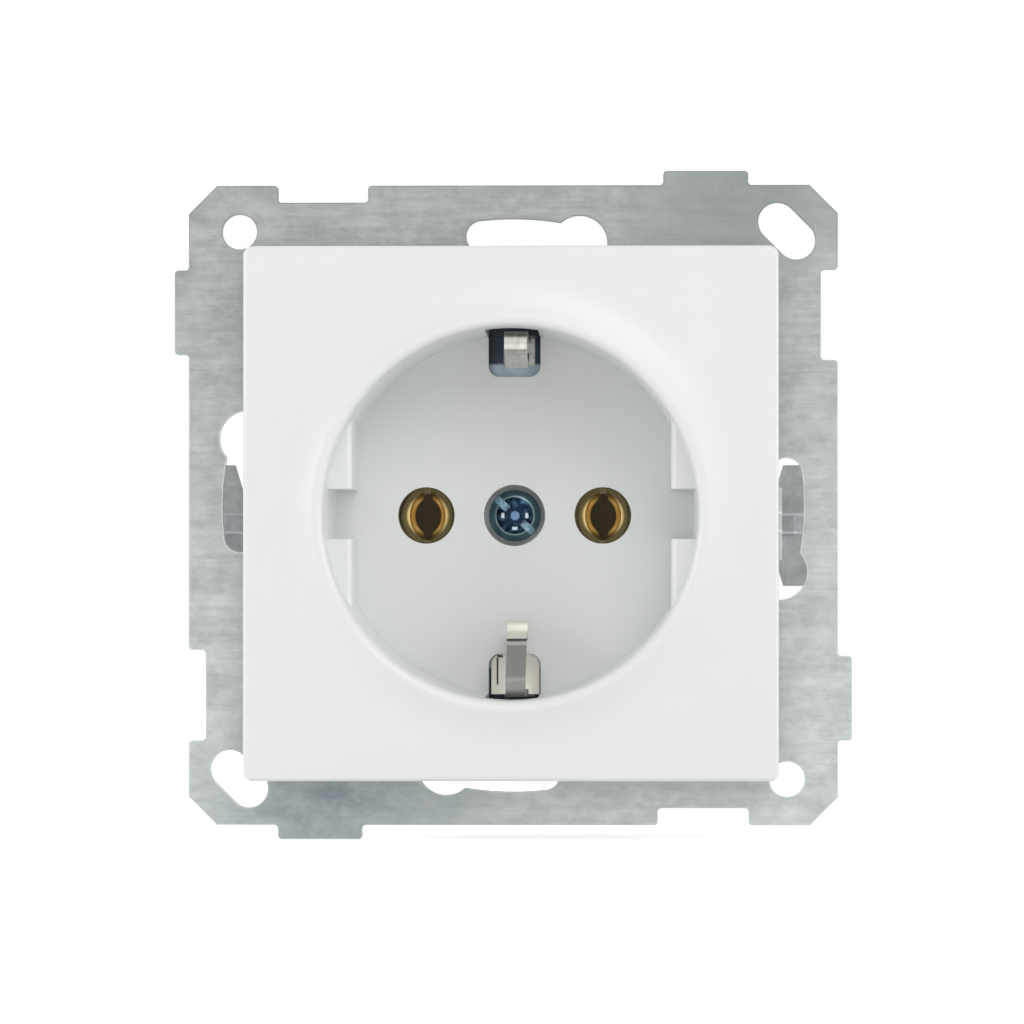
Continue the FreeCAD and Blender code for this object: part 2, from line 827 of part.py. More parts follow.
def make_base_strap():
    body = new_body("base_strap")
    front = FRAME_FACE - size("strap_sheet")
    level = size("strap_level")
    leg = LEG_INNER
    flange = leg + size("strap_flange")
    half = size("strap_wide") / 2
    section = [
        (FRAME_FACE, flange),
        (front, flange),
        (front, leg),
        (level, leg),
        (level, -leg),
        (front, -leg),
        (front, -flange),
        (FRAME_FACE, -flange),
        (FRAME_FACE, -LEG_OUTER),
        (STRAP_BACK, -LEG_OUTER),
        (STRAP_BACK, LEG_OUTER),
        (FRAME_FACE, LEG_OUTER),
    ]
    pad(body, "strap_section", "YZ", -half, half, [section])

    def inner_bend(edge):
        at = edge.CenterOfMass
        at_frame = near(at.y, FRAME_FACE) and near(abs(at.z), LEG_OUTER)
        at_level = near(at.y, level) and near(abs(at.z), leg)
        return runs_along(edge, 0) and (at_frame or at_level)

    def outer_bend(edge):
        at = edge.CenterOfMass
        at_front = near(at.y, front) and near(abs(at.z), leg)
        at_back = near(at.y, STRAP_BACK) and near(abs(at.z), LEG_OUTER)
        return runs_along(edge, 0) and (at_front or at_back)

    finish_edges(body, "inner_bends", "Fillet", size("strap_bend_radius"), inner_bend)
    outer_radius = size("strap_bend_radius") + size("strap_sheet") / 2
    finish_edges(body, "outer_bends", "Fillet", outer_radius, outer_bend)
    window = size("strap_window_wide") / 2
    shift = size("clip_shift")
    window_start = WELL - size("strap_window_reach")
    window_end = CLIP_FACE + size("run_gap")
    windows = []
    for way in SIDES:
        low, high = sorted((way * window_start, way * window_end), key=lambda s: s.number)
        windows.append(rectangle(shift - window, shift + window, low, high))
    screw_hole = Circle(0.0, 0.0, size("screw_radius") + size("thread_gap"))
    rivet = size("base_rivet_radius") + size("thread_gap")
    rivets = [Circle(0.0, way * size("base_rivet_place"), rivet) for way in SIDES]
    pocket(body, "strap_holes", "XZ", level, STRAP_BACK, [screw_hole, *windows, *rivets])
    flange_hole = size("strap_rivet_radius") + size("thread_gap")
    flange_rivets = [Circle(0.0, way * STRAP_RIVET_PLACE, flange_hole) for way in SIDES]
    pocket(body, "flange_holes", "XZ", front, FRAME_FACE, flange_rivets)
    on_socket_axis(body)


def make_strap_rivet(name, way):
    """A rivet with a low head on the strap's flange and a flush countersunk end in the frame."""
    body = new_body(name)
    front = FRAME_FACE - size("strap_sheet")
    shank = size("strap_rivet_radius")
    head = size("strap_rivet_head_radius")
    high = size("strap_rivet_head_high")
    dome = (head * head + high * high) / (2 * high)
    sink = size("strap_rivet_sink")
    section = [
        (0.0, front - high),
        ArcTo(head, front, dome),
        (shank, front),
        (shank, -sink),
        (shank + sink, 0.0),
        (0.0, 0.0),
    ]
    revolve(body, "rivet_form", section)
    place(body, up=way * STRAP_RIVET_PLACE - size("axis_drop"))


def make_base_rivet(name, way):
    """A hollow rivet through strap, bow, block and rear cover."""
    body = new_body(name)
    shank = size("base_rivet_radius")
    bore = size("base_rivet_bore")
    head = size("base_rivet_head_radius")
    high = size("base_rivet_head_high")
    front = size("strap_level")
    section = [
        (bore, front - high),
        (head, front - high),
        (head, front),
        (shank, front),
        (shank, REAR_FACE),
        (head, REAR_FACE),
        (head, REAR_FACE + high),
        (bore, REAR_FACE + high),
    ]
    revolve(body, "rivet_form", section)

    def rim(edge):
        return isinstance(edge.Curve, Part.Circle) and near(edge.Curve.Radius, head) and (
            near(edge.CenterOfMass.y, front - high) or near(edge.CenterOfMass.y, REAR_FACE + high)
        )

    finish_edges(body, "rivet_rims", "Fillet", high / 2, rim)
    place(body, up=way * size("base_rivet_place") - size("axis_drop"))


# Earth bow


def clip_section(way, nose, nose_depth):
    """Side view of one hairpin clip, as (depth, height) corners, from the web forward and back."""
    outer = CLIP_FACE
    front = -size("clip_front")
    sheet_thick = size("clip_sheet")
    bend = outer - size("clip_bend_high")
    slope = (bend - nose) / (nose_depth - front)
    thick = sheet_thick * root(1 + slope * slope)
    tail = nose + size("clip_tail_lift")
    return [
        (BOW_BACK, way * outer),
        (front, way * outer),
        (front, way * bend),
        (nose_depth, way * nose),
        (size("clip_tail_depth"), way * tail),
        (size("clip_tail_depth"), way * (tail + thick)),
        (nose_depth, way * (nose + thick)),
        (front + sheet_thick, way * bend),
        (front + sheet_thick, way * (outer - sheet_thick)),
        (BOW_BACK, way * (outer - sheet_thick)),
    ]


def make_earth_bow():
    body = new_body("earth_bow")
    half = size("bow_wide") / 2
    web_end = CLIP_FACE
    nose_top = WELL - size("clip_top_reach")
    nose_bottom = WELL - size("clip_bottom_reach")
    pad(body, "bow_web", "XZ", STRAP_BACK, BOW_BACK, [rectangle(-half, half, -web_end, web_end)])
    shift = size("clip_shift")
    top_half = size("clip_top_wide") / 2
    bottom_half = size("clip_bottom_wide") / 2
    top = clip_section(1, nose_top, size("clip_top_depth"))
    bottom = clip_section(-1, nose_bottom, size("clip_bottom_depth"))
    pad(body, "top_clip", "YZ", shift - top_half, shift + top_half, [top])
    pad(body, "bottom_clip", "YZ", shift - bottom_half, shift + bottom_half, [bottom])

    front = -size("clip_front")

    def outer_bend(edge):
        return runs_along(edge, 0) and near(edge.CenterOfMass.y, front)

    finish_edges(body, "hairpin_bends", "Fillet", size("clip_bend_radius"), outer_bend)

    def nose_bend(edge):
        at = edge.CenterOfMass
        at_top = near(at.y, size("clip_top_depth")) and near(at.z, nose_top)
        at_bottom = near(at.y, size("clip_bottom_depth")) and near(at.z, -nose_bottom)
        return runs_along(edge, 0) and (at_top or at_bottom)

    finish_edges(body, "clip_noses", "Fillet", size("clip_nose_radius"), nose_bend)

    cheek = size("cheek_wide") / 2
    cheek_loop = rectangle(-cheek, cheek, -web_end, -CHEEK_START)
    cheek_back = size("cheek_level") + size("clip_sheet")
    pad(body, "clip_cheeks", "XZ", size("cheek_level"), cheek_back, [cheek_loop])

    def cheek_corner(edge):
        at = edge.CenterOfMass
        return runs_along(edge, 1) and near(abs(at.x), cheek) and near(at.z, -CHEEK_START)

    finish_edges(body, "cheek_corners", "Fillet", size("cheek_radius"), cheek_corner)

    tail_low = size("terminal_place") - size("tail_wide")
    tail_end = PIN_PLACE + size("tail_wide") / 2
    tail = rectangle(0.0, tail_end, tail_low, LUG_FACE)
    pad(body, "bow_tail", "XZ", STRAP_BACK, BOW_BACK, [tail])
    lug_start = PIN_PLACE - size("tail_wide") / 2
    lug = rectangle(lug_start, tail_end, STRAP_BACK, size("lug_rear"))
    pad(body, "bow_lug", "XY", size("terminal_place"), LUG_FACE, [lug])
    tapped = Circle(PIN_PLACE, size("terminal_screw_level"), size("screw_radius") + size("thread_gap"))
    pocket(body, "lug_hole", "XY", size("terminal_place"), LUG_FACE, [tapped])
    screw_way = Circle(0.0, 0.0, size("screw_radius") + size("run_gap"))
    rivet = size("base_rivet_radius") + size("thread_gap")
    rivets = [Circle(0.0, way * size("base_rivet_place"), rivet) for way in SIDES]
    pocket(body, "web_holes", "XZ", STRAP_BACK, BOW_BACK, [screw_way, *rivets])
    on_socket_axis(body)


# Line and neutral contacts


def cone(name, front_radius, rear_radius, front, rear):
    """A cone along Y between two levels."""
    solid = document.addObject("Part::Cone", name)
    bind(solid, "Radius1", front_radius)
    bind(solid, "Radius2", rear_radius)
    bind(solid, "Height", as_size(rear) - front)
    turn(solid, -AXIS_X, 90.0)
    bind(solid, "Placement.Base.y", front)
    return solid


def block(name, low, high):
    """A box between two corners."""
    solid = document.addObject("Part::Box", name)
    for key, path, near_end, far_end in zip(("Length", "Width", "Height"), "xyz", low, high):
        bind(solid, key, as_size(far_end) - near_end)
        bind(solid, f"Placement.Base.{path}", near_end)
    return solid


def rod(name, radius, along, centre, long):
    """A cylinder along Y or Z that starts at a centre."""
    solid = document.addObject("Part::Cylinder", name)
    bind(solid, "Radius", radius)
    bind(solid, "Height", long)
    if along == "Y":
        turn(solid, -AXIS_X, 90.0)
    place(solid, *centre)
    return solid


def join(name, pieces):
    result = document.addObject("Part::MultiFuse", name)
    result.Shapes = pieces
    return result


def cut(name, base, tool):
    result = document.addObject("Part::Cut", name)
    result.Base = base
    result.Tool = tool
    return result


def contact_leaf(name, side):
    """Half of a sleeve with a flared mouth, tilted so that its front end pinches the pin."""
    thick = size("contact_sheet")
    root_bore = size("leaf_root_bore")
    pivot = size("contact_rear") - size("ring_long")
    front = size("contact_front") - pivot
    waist = front + size("leaf_mouth_long")
    rear = thick
    walls = []
    for word, wall in (("outer", thick), ("inner", 0.0)):
        mouth_end = size("leaf_mouth_bore") + wall
        waist_end = size("leaf_bore") + wall
        mouth = cone(f"{name}_{word}_mouth", mouth_end, waist_end, front, waist)
        tube = cone(f"{name}_{word}_tube", waist_end, root_bore + wall, waist, rear)
        walls.append(join(f"{name}_{word}", [mouth, tube]))
    shell = cut(f"{name}_shell", walls[0], walls[1])
    reach = size("leaf_mouth_bore") + thick + OVERRUN
    half_slit = size("leaf_slit") / 2
    low, high = sorted((side * half_slit, side * reach), key=lambda s: s.number)
    keep = block(f"{name}_keep", (low, front - OVERRUN, -reach), (high, rear + OVERRUN, reach))
    leaf = document.addObject("Part::Common", name)
    leaf.Base = shell
    leaf.Tool = keep
    turn(leaf, AXIS_Z * -side, size("leaf_pinch_turn"))
    place(leaf, depth=pivot)
    return leaf


def make_contact(name, side):
    """A brass sleeve with two sprung leaves, and its tail and tapped lug, on the axis of its pin."""
    ring_front = size("contact_rear") - size("ring_long")
    rear = size("contact_rear")
    bore = size("ring_bore")
    outer = bore + size("contact_sheet")
    leaves = [contact_leaf(f"{name}_leaf_{word}", way) for word, way in (("a", -1), ("b", 1))]
    ring = rod(f"{name}_ring", outer, "Y", (0.0, ring_front, 0.0), size("ring_long"))
    half = size("tail_wide") / 2
    tail_front = rear - size("tail_sheet")
    tail = block(f"{name}_tail", (-half, tail_front, -LUG_FACE), (half, rear, 0.0))
    low = -LUG_FACE
    high = -size("terminal_place")
    lug = block(f"{name}_lug", (-half, tail_front, low), (half, size("lug_rear"), high))
    bore_start = (0.0, ring_front - OVERRUN, 0.0)
    ring_bore = rod(f"{name}_bore", bore, "Y", bore_start, size("ring_long") + 2 * OVERRUN)
    tap = size("screw_radius") + size("thread_gap")
    tap_start = (0.0, size("terminal_screw_level"), low - OVERRUN)
    tapped = rod(f"{name}_tap", tap, "Z", tap_start, size("tail_sheet") + 2 * OVERRUN)
    metal = join(f"{name}_metal", [ring, tail, lug])
    holes = join(f"{name}_holes", [ring_bore, tapped])
    carrier = cut(f"{name}_carrier", metal, holes)
    contact = join(name, [carrier, *leaves])
    contact.Label = name
    contact.Refine = False
    place(contact, across=side * PIN_PLACE, up=-size("axis_drop"))
    return contact


# Terminals


def terminal_frame(body, side, way):
    """Place a terminal piece: its own +Z points from the lug to the screw's head."""
    place(
        body,
        across=side * PIN_PLACE,
        depth=size("terminal_screw_level"),
        up=way * SADDLE_FACE - size("axis_drop"),
    )
    if way < 0:
        turn(body, AXIS_X, 180.0)


def make_saddle(name, side, way):
    """A clamp plate with two lips that keep the wires under it."""
    body = new_body(name)
    half = size("tail_wide") / 2 - size("fit_gap")
    thick = size("saddle_sheet")
    lip = size("saddle_lip")
    section = [
        (-half, -lip),
        (thick - half, -lip),
        (thick - half, 0.0),
        (half - thick, 0.0),
        (half - thick, -lip),
        (half, -lip),
        (half, thick),
        (-half, thick),
    ]
    long_half = size("saddle_long") / 2
    pad(body, "saddle_section", "XZ", -long_half, long_half, [section])

    def shoulder(edge):
        at = edge.CenterOfMass
        return runs_along(edge, 1) and near(abs(at.x), half) and near(at.z, thick)

    finish_edges(body, "saddle_shoulders", "Fillet", thick / 2, shoulder)
    hole = Circle(0.0, 0.0, size("screw_radius") + size("side_gap"))
    pocket(body, "saddle_hole", "XY", -lip, thick, [hole])
    terminal_frame(body, side, way)


def make_terminal_screw(name, side, way):
    body = make_screw(
        name, size("terminal_head_radius"), size("terminal_head_high"), size("terminal_screw_long")
    )
    place(
        body,
        across=side * PIN_PLACE,
        depth=size("terminal_screw_level"),
        up=way * SADDLE_BACK - size("axis_drop"),
    )
    turn(body, AXIS_X * -way, 90.0)


# Moulded block and rear cover


def block_loop(inset):
    half_wide = BLOCK_HALF_WIDE - inset
    half_high = BLOCK_HALF_HIGH - inset
    return rectangle(-half_wide, half_wide, -half_high, half_high)


def round_block(body, name, inset):
    half_wide = BLOCK_HALF_WIDE - inset
    half_high = BLOCK_HALF_HIGH - inset

    def corner(edge):
        at = edge.CenterOfMass
        return runs_along(edge, 1) and near(abs(at.x), half_wide) and near(abs(at.z), half_high)

    finish_edges(body, name, "Fillet", size("block_corner_radius"), corner)


def make_contact_base():
    body = new_body("contact_base")
    front = size("block_front")
    rear = size("block_rear")
    pad(body, "block_form", "XZ", front, rear, [block_loop(0.0)])
    round_block(body, "block_corners", 0.0)

    pivot = CLAW_PIVOT_PLACE
    level = size("claw_pivot_level")
    ear_radius = size("ear_radius")
    root_in = BLOCK_HALF_WIDE - size("ear_root_depth")
    root_half = size("ear_root_half")
    claw_half = size("claw_wide") / 2
    ear_low = claw_half + size("side_gap")
    ear_high = ear_low + size("ear_sheet")
    for word, side in (("right", 1), ("left", -1)):
        ear = [
            (side * root_in, level - root_half),
            (side * pivot, level - ear_radius),
            ArcTo(side * (pivot + ear_radius), level, ear_radius, left=side > 0),
            ArcTo(side * pivot, level + ear_radius, ear_radius, left=side > 0),
            (side * root_in, level + root_half),
        ]
        stub = Circle(side * pivot, level, size("claw_pin_radius"))
        for place_word, way in (("upper", 1), ("lower", -1)):
            centre = -size("claw_drop")
            low, high = sorted((centre + way * ear_low, centre + way * ear_high), key=lambda s: s.number)
            pad(body, f"{word}_{place_word}_ear", "XY", low, high, [ear])
            stub_end = claw_half - size("claw_sheet") - size("side_gap")
            low, high = sorted((centre + way * stub_end, centre + way * ear_high), key=lambda s: s.number)
            pad(body, f"{word}_{place_word}_stub", "XY", low, high, [stub])

    channel = size("strap_wide") / 2 + size("run_gap")
    half_high = BLOCK_HALF_HIGH
    channel_back = BOW_BACK + size("fit_gap")
    channel_loop = rectangle(-channel, channel, -half_high, half_high)
    pocket(body, "strap_channel", "XZ", front, channel_back, [channel_loop])

    mouths = [Circle(side * PIN_PLACE, 0.0, size("chamber_mouth_radius")) for side in SIDES]
    mouth_back = front + size("block_face_wall")
    pocket(body, "chamber_mouths", "XZ", front, mouth_back, mouths)
    chambers = [Circle(side * PIN_PLACE, 0.0, size("chamber_radius")) for side in SIDES]
    pocket(body, "sleeve_chambers", "XZ", mouth_back, rear, chambers)

    chamber_half = size("chamber_wide") / 2
    tail_front = size("contact_rear") - size("tail_sheet") - size("fit_gap")
    for word, side in (("right", 1), ("left", -1)):
        low, high = sorted(
            (side * (PIN_PLACE - chamber_half), side * (PIN_PLACE + chamber_half)), key=lambda s: s.number
        )
        loops = [rectangle(low, high, -half_high, 0.0)]
        pocket(body, f"{word}_terminal_chamber", "XZ", tail_front, rear, loops)

    earth_low = size("terminal_place") - size("tail_wide") - size("run_gap")
    chamber_start = PIN_PLACE - chamber_half
    chamber_end = PIN_PLACE + chamber_half
    earth_front = STRAP_BACK - size("fit_gap")
    earth_loop = rectangle(chamber_start, chamber_end, earth_low, half_high)
    pocket(body, "earth_terminal_chamber", "XZ", earth_front, rear, [earth_loop])
    tail_loop = rectangle(0.0, chamber_end, earth_low, LUG_FACE + size("run_gap"))
    pocket(body, "earth_tail_channel", "XZ", front, channel_back, [tail_loop])

    rivet = size("base_rivet_radius") + size("thread_gap")
    rivets = [Circle(0.0, way * size("base_rivet_place"), rivet) for way in SIDES]
    pocket(body, "rivet_ways", "XZ", channel_back, rear, rivets)
    screw_end = SCREW_SEAT + size("cover_screw_long") + OVERRUN
    screw_way = Circle(0.0, 0.0, size("screw_radius") + size("run_gap"))
    pocket(body, "screw_way", "XZ", channel_back, screw_end, [screw_way])
    on_socket_axis(body)


def make_rear_cover():
    body = new_body("rear_cover")
    inset = size("rear_cover_inset")
    rear = size("block_rear")
    pad(body, "cover_form", "XZ", rear, REAR_FACE, [block_loop(inset)])
    round_block(body, "cover_corners", inset)

    def rim(edge):
        return near(edge.BoundBox.YMin, REAR_FACE) and near(edge.BoundBox.YMax, REAR_FACE)

    finish_edges(body, "cover_rim", "Fillet", size("rear_cover_sheet") / 3, rim)
    entry = size("wire_entry_radius")
    up = LUG_FACE + size("wire_gap") / 2
    step = size("wire_entry_pitch") / 2
    entries = []
    for side, way in ((-1, -1), (1, -1), (1, 1)):
        for shift in SIDES:
            entries.append(Circle(side * PIN_PLACE + shift * step, way * up, entry))
    rivet = size("base_rivet_radius") + size("thread_gap")
    rivets = [Circle(0.0, way * size("base_rivet_place"), rivet) for way in SIDES]
    pocket(body, "cover_holes", "XZ", rear, REAR_FACE, [*entries, *rivets])
    on_socket_axis(body)


# Spreading claws, each modelled about its pivot with its leg straight back, as when drawn in


def fishtail(side, web_inner):
    """The end of the leg that bites the wall box: a tee with a shallow notch between two blunt horns."""
    half = size("claw_wide") / 2
    horn = size("claw_horn_half")
    tip = horn - size("claw_horn_blunt")
    upper = [
        (web_inner, half),
        (size("claw_flare_start"), half),
        (size("claw_horn_start"), horn),
        (size("claw_horn_reach"), horn),
        (size("claw_horn_reach"), tip),
        (size("claw_notch_reach"), 0.0),
    ]
    lower = [(across, -up) for across, up in reversed(upper[:-1])]
    return [(side * across, up) for across, up in upper + lower]


def make_claw(name, side, rest_turn):
    body = new_body(name)
    thick = size("claw_sheet")
    half = size("claw_wide") / 2
    web_outer = -size("claw_web_place")
    web_inner = web_outer - thick
    arm_back = -size("claw_arm_lift")
    arm_front = arm_back - thick
    reach = size("claw_arm_reach")
    leg_end = size("claw_leg_long")
    bracket = [
        (side * web_inner, arm_front),
        (side * reach, arm_front),
        (side * reach, arm_back),
        (side * web_outer, arm_back),
        (side * web_outer, leg_end),
        (side * web_inner, leg_end),
    ]
    pad(body, "claw_bracket", "XY", -half, half, [bracket])
    flange_reach = size("claw_flange_reach")
    flange_end = size("claw_flange_long")
    gusset = [
        (side * web_inner, arm_front),
        (side * flange_reach, arm_front),
        (side * flange_reach, size("claw_pin_radius")),
        (side * web_outer, flange_end),
        (side * web_inner, flange_end),
    ]
    for word, way in (("upper", 1), ("lower", -1)):
        low, high = sorted((way * (half - thick), way * half), key=lambda s: s.number)
        pad(body, f"{word}_flange", "XY", low, high, [gusset])
    tail_front = leg_end - thick
    pad(body, "fishtail", "XZ", tail_front, leg_end, [fishtail(side, web_inner)])
    rib_half = size("claw_rib_wide") / 2
    rib_low = size("claw_rib_start")
    rib_high = rib_low + size("claw_rib_long")
    low, high = sorted((side * rib_low, side * rib_high), key=lambda s: s.number)
    rib = rectangle(low, high, -rib_half, rib_half)
    pad(body, "fishtail_rib", "XZ", tail_front - size("claw_rib_rise"), tail_front, [rib])

    slot_half = size("screw_radius") + size("side_gap")
    slot_start = size("claw_slot_start") + slot_half
    slot_end = size("claw_slot_start") + size("claw_slot_long") - slot_half
    slot = [
        (side * slot_end, -slot_half),
        ArcTo(side * (slot_end + slot_half), 0.0, slot_half, left=side > 0),
        ArcTo(side * slot_end, slot_half, slot_half, left=side > 0),
        (side * slot_start, slot_half),
        ArcTo(side * (slot_start - slot_half), 0.0, slot_half, left=side > 0),
        ArcTo(side * slot_start, -slot_half, slot_half, left=side > 0),
    ]
    pocket(body, "screw_slot", "XZ", arm_front, arm_back, [slot])
    pivot_hole = Circle(0.0, 0.0, size("claw_pin_radius") + size("pivot_gap"))
    pocket(body, "pivot_holes", "XY", -half, half, [pivot_hole])

    def bend(edge):
        at = edge.CenterOfMass
        at_arm = near(at.y, arm_front) and near(at.x, side * web_inner)
        at_leg = near(at.y, leg_end) and near(at.x, side * web_inner)
        return runs_along(edge, 2) and (at_arm or at_leg)

    finish_edges(body, "claw_bends", "Fillet", size("claw_bend_radius"), bend)
    turn(body, AXIS_Z * -side, rest_turn)
    place(
        body,
        across=side * CLAW_PIVOT_PLACE,
        depth=size("claw_pivot_level"),
        up=-size("axis_drop") - size("claw_drop"),
    )
    return body


# The assembly

make_support_frame()
make_cover_plate()
make_well_wall()
make_well_floor()
make_cover_screw()
make_base_strap()
make_earth_bow()
make_contact_base()
make_rear_cover()
make_claw("claw_left", -1, size("claw_left_turn"))
make_claw("claw_right", 1, size("claw_right_turn"))
for word, side in (("left", -1), ("right", 1)):
    make_claw_screw(f"claw_screw_{word}", side)
for word, way in (("top", 1), ("bottom", -1)):
    make_strap_rivet(f"strap_rivet_{word}", way)
    make_base_rivet(f"base_rivet_{word}", way)
for word, side in (("line", -1), ("neutral", 1)):
    make_contact(f"{word}_contact", side)
for word, side, way in (("line", -1, -1), ("neutral", 1, -1), ("earth", 1, 1)):
    make_saddle(f"{word}_clamp", side, way)
    make_terminal_screw(f"{word}_terminal_screw", side, way)

NODES = (
    "support_frame",
    "cover_plate",
    "well_wall",
    "well_floor",
    "cover_screw",
    "base_strap",
    "strap_rivet_top",
    "strap_rivet_bottom",
    "contact_base",
    "rear_cover",
    "base_rivet_top",
    "base_rivet_bottom",
    "earth_bow",
    "line_contact",
    "neutral_contact",
    "line_clamp",
    "neutral_clamp",
    "earth_clamp",
    "line_terminal_screw",
    "neutral_terminal_screw",
    "earth_terminal_screw",
    "claw_left",
    "claw_right",
    "claw_screw_left",
    "claw_screw_right",
)

document.recompute()
for thing in document.Objects:
    if "Invalid" in thing.State or "Error" in thing.State:
        raise RuntimeError(f"{thing.Label} failed: {thing.State}")

os.makedirs("parts", exist_ok=True)
for name in NODES:
    piece = document.getObjectsByLabel(name)[0]
    shape = piece.Shape
    if shape.isNull() or not shape.isValid() or len(shape.Solids) != 1:
        raise RuntimeError(f"{name} is not one valid solid: {len(shape.Solids)}")
    shape.exportStep(f"parts/{name}.step")
    print(f"{name}: {shape.Volume:.1f} mm3")
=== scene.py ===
"""Finishes, lamps, floor and camera for the type f wall socket, and the roll on its lower earth clip."""

import json
import math

import bpy
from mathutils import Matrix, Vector

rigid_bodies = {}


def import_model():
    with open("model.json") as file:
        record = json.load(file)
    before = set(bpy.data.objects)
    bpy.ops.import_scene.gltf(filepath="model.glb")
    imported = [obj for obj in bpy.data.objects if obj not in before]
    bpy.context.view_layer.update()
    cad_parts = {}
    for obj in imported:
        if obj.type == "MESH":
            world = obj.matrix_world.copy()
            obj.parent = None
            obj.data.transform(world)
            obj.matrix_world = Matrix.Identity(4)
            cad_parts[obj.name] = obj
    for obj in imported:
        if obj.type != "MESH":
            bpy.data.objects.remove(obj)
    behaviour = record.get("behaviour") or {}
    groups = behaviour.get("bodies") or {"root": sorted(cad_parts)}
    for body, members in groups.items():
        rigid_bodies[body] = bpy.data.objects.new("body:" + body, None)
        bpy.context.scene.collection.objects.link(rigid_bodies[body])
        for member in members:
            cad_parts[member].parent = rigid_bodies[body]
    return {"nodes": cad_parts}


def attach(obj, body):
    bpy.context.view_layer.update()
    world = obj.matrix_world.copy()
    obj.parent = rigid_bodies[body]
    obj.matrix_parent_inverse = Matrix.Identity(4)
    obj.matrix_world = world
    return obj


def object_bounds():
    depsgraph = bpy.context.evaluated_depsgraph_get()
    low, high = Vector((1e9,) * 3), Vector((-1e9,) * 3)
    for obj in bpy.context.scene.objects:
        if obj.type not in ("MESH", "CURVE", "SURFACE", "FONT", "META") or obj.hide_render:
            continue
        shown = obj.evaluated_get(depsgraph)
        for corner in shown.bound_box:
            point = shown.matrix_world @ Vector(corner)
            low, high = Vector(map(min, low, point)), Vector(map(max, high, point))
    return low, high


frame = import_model()
CAD_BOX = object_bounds()
NODES = frame["nodes"]

# Places are in mm of the row frame: X to the right, Y into the wall, Z up
MM = 0.001
AXIS_UP = -1.0
PIN_ACROSS = 9.5
CLAW_UP = -1.9
COVER_MOULDING = ("cover_plate", "well_wall", "well_floor")

# Screws: seat of the head, way the shank runs, head radius, head height and shank length, in mm
CLAW_SCREW_ACROSS = 25.0
CLAW_SCREW_DEPTH = -1.05
CLAW_SCREW = (2.8, 1.6, 13.4)
TERMINAL_DEPTH = 25.0
TERMINAL_LOW = AXIS_UP - 16.7
TERMINAL_HIGH = AXIS_UP + 16.7
TERMINAL_SCREW = (2.7, 2.0, 7.4)
SCREWS = {
    "cover_screw": ((0.0, 9.2, AXIS_UP), (0, 1, 0), 2.775, 2.2, 7.0),
    "claw_screw_left": ((-CLAW_SCREW_ACROSS, CLAW_SCREW_DEPTH, CLAW_UP), (0, 1, 0), *CLAW_SCREW),
    "claw_screw_right": ((CLAW_SCREW_ACROSS, CLAW_SCREW_DEPTH, CLAW_UP), (0, 1, 0), *CLAW_SCREW),
    "line_terminal_screw": ((-PIN_ACROSS, TERMINAL_DEPTH, TERMINAL_LOW), (0, 0, 1), *TERMINAL_SCREW),
    "neutral_terminal_screw": ((PIN_ACROSS, TERMINAL_DEPTH, TERMINAL_LOW), (0, 0, 1), *TERMINAL_SCREW),
    "earth_terminal_screw": ((PIN_ACROSS, TERMINAL_DEPTH, TERMINAL_HIGH), (0, 0, -1), *TERMINAL_SCREW),
}
THREAD_PITCH = 0.6
THREAD_HEIGHT = 0.4
THREAD_STOPS = 0.4

# Recess of a screw: how deep it goes, the rim that stays plated and the least depth of its foot
RECESS_DEPTH = 1.25
RECESS_RIM = 0.1
RECESS_FOOT = 0.5

# Dark patches on the frame: place and reach
LOWER_DARK_PATCH = ((-19.0, 0.0, -32.5), 12.0)
UPPER_DARK_PATCH = ((24.5, 0.0, 32.5), 9.0)

# Strap: how far from the axis its windows begin and end, and half their width
WINDOW_REACH = (16.6, 20.5)
WINDOW_HALF = 3.3

# Claws: where their horns begin and end across, and the two pressed lines and the bends above and below
# that carry painted highlights
CLAW_HORNS = (26.3, 40.0)
PRESSED_LINES = ((-0.75, -0.6), (-2.75, -2.6))
CLAW_BENDS = (7.6, 8.6)

# Zones of the lower earth clip where light and shade are painted: a low limit, a high limit and a soft
# margin each
CLIP_ACROSS = (-0.8, 1.6, 0.05)
NOSE_UP = (-14.15, -11.0, 0.05)
GAP_UP = (-14.4, -14.25, 0.06)
EDGE_UP = (-14.8, -14.6, 0.08)
TONGUE_UP = (-22.0, -14.95, 0.1)
CHEEK_DEPTH = (8.8, 9.6, 0.1)
CHEEK_UP = (-20.4, -12.0, 0.2)
SLIT_ACROSS = (-2.0, -1.86, 0.06)
SLIT_UP = (-19.2, -16.4, 0.1)
HOOK_ACROSS = (-1.9, -1.4, 0.1)
HOOK_UP = (-16.3, -16.1, 0.06)
SHADE_DEPTH = (-1.0, 40.0, 0.2)
SHADE_UP = (-22.0, -16.7, 0.3)

# Spring sleeves: depths at which the painted shade deep inside and the painted glow begin and end
DEEP_PAINTED_SHADE = (16.0, 19.0)
SLEEVE_INSIDE = (11.6, 20.5)
LEAF_EDGES = (10.2, 16.0)

# Roll on the lower clip's nose: its size, how flat it is and its middle
ROLL_RADIUS = 0.85
ROLL_LENGTH = 2.3
ROLL_FLATNESS = 0.75
ROLL_MIDDLE = (0.42, 1.75, -13.2)
ROLL_WALL = 0.3
ROLL_HOLLOW = 0.45
ROLL_SOFTENING = 0.09

# Camera: square on to the cover, a little to the right of it and below it
IMAGE_PIXELS = 1024
SENSOR = 36.0
FOCAL_PIXELS = 5164.0
CAMERA_AT = Vector((14.3, -549.5, -8.2)) * MM
PLATE_CENTRE = Vector((0.16, -10.5, -0.86)) * MM
NEAREST_SEEN = 10.0 * MM

# Stage: sizes in metres
FLOOR_ACROSS = 6.0
WHITE = (1.0, 1.0, 1.0, 1.0)
FLOOR_LIFT = 0.55
AMBIENT = 0.45

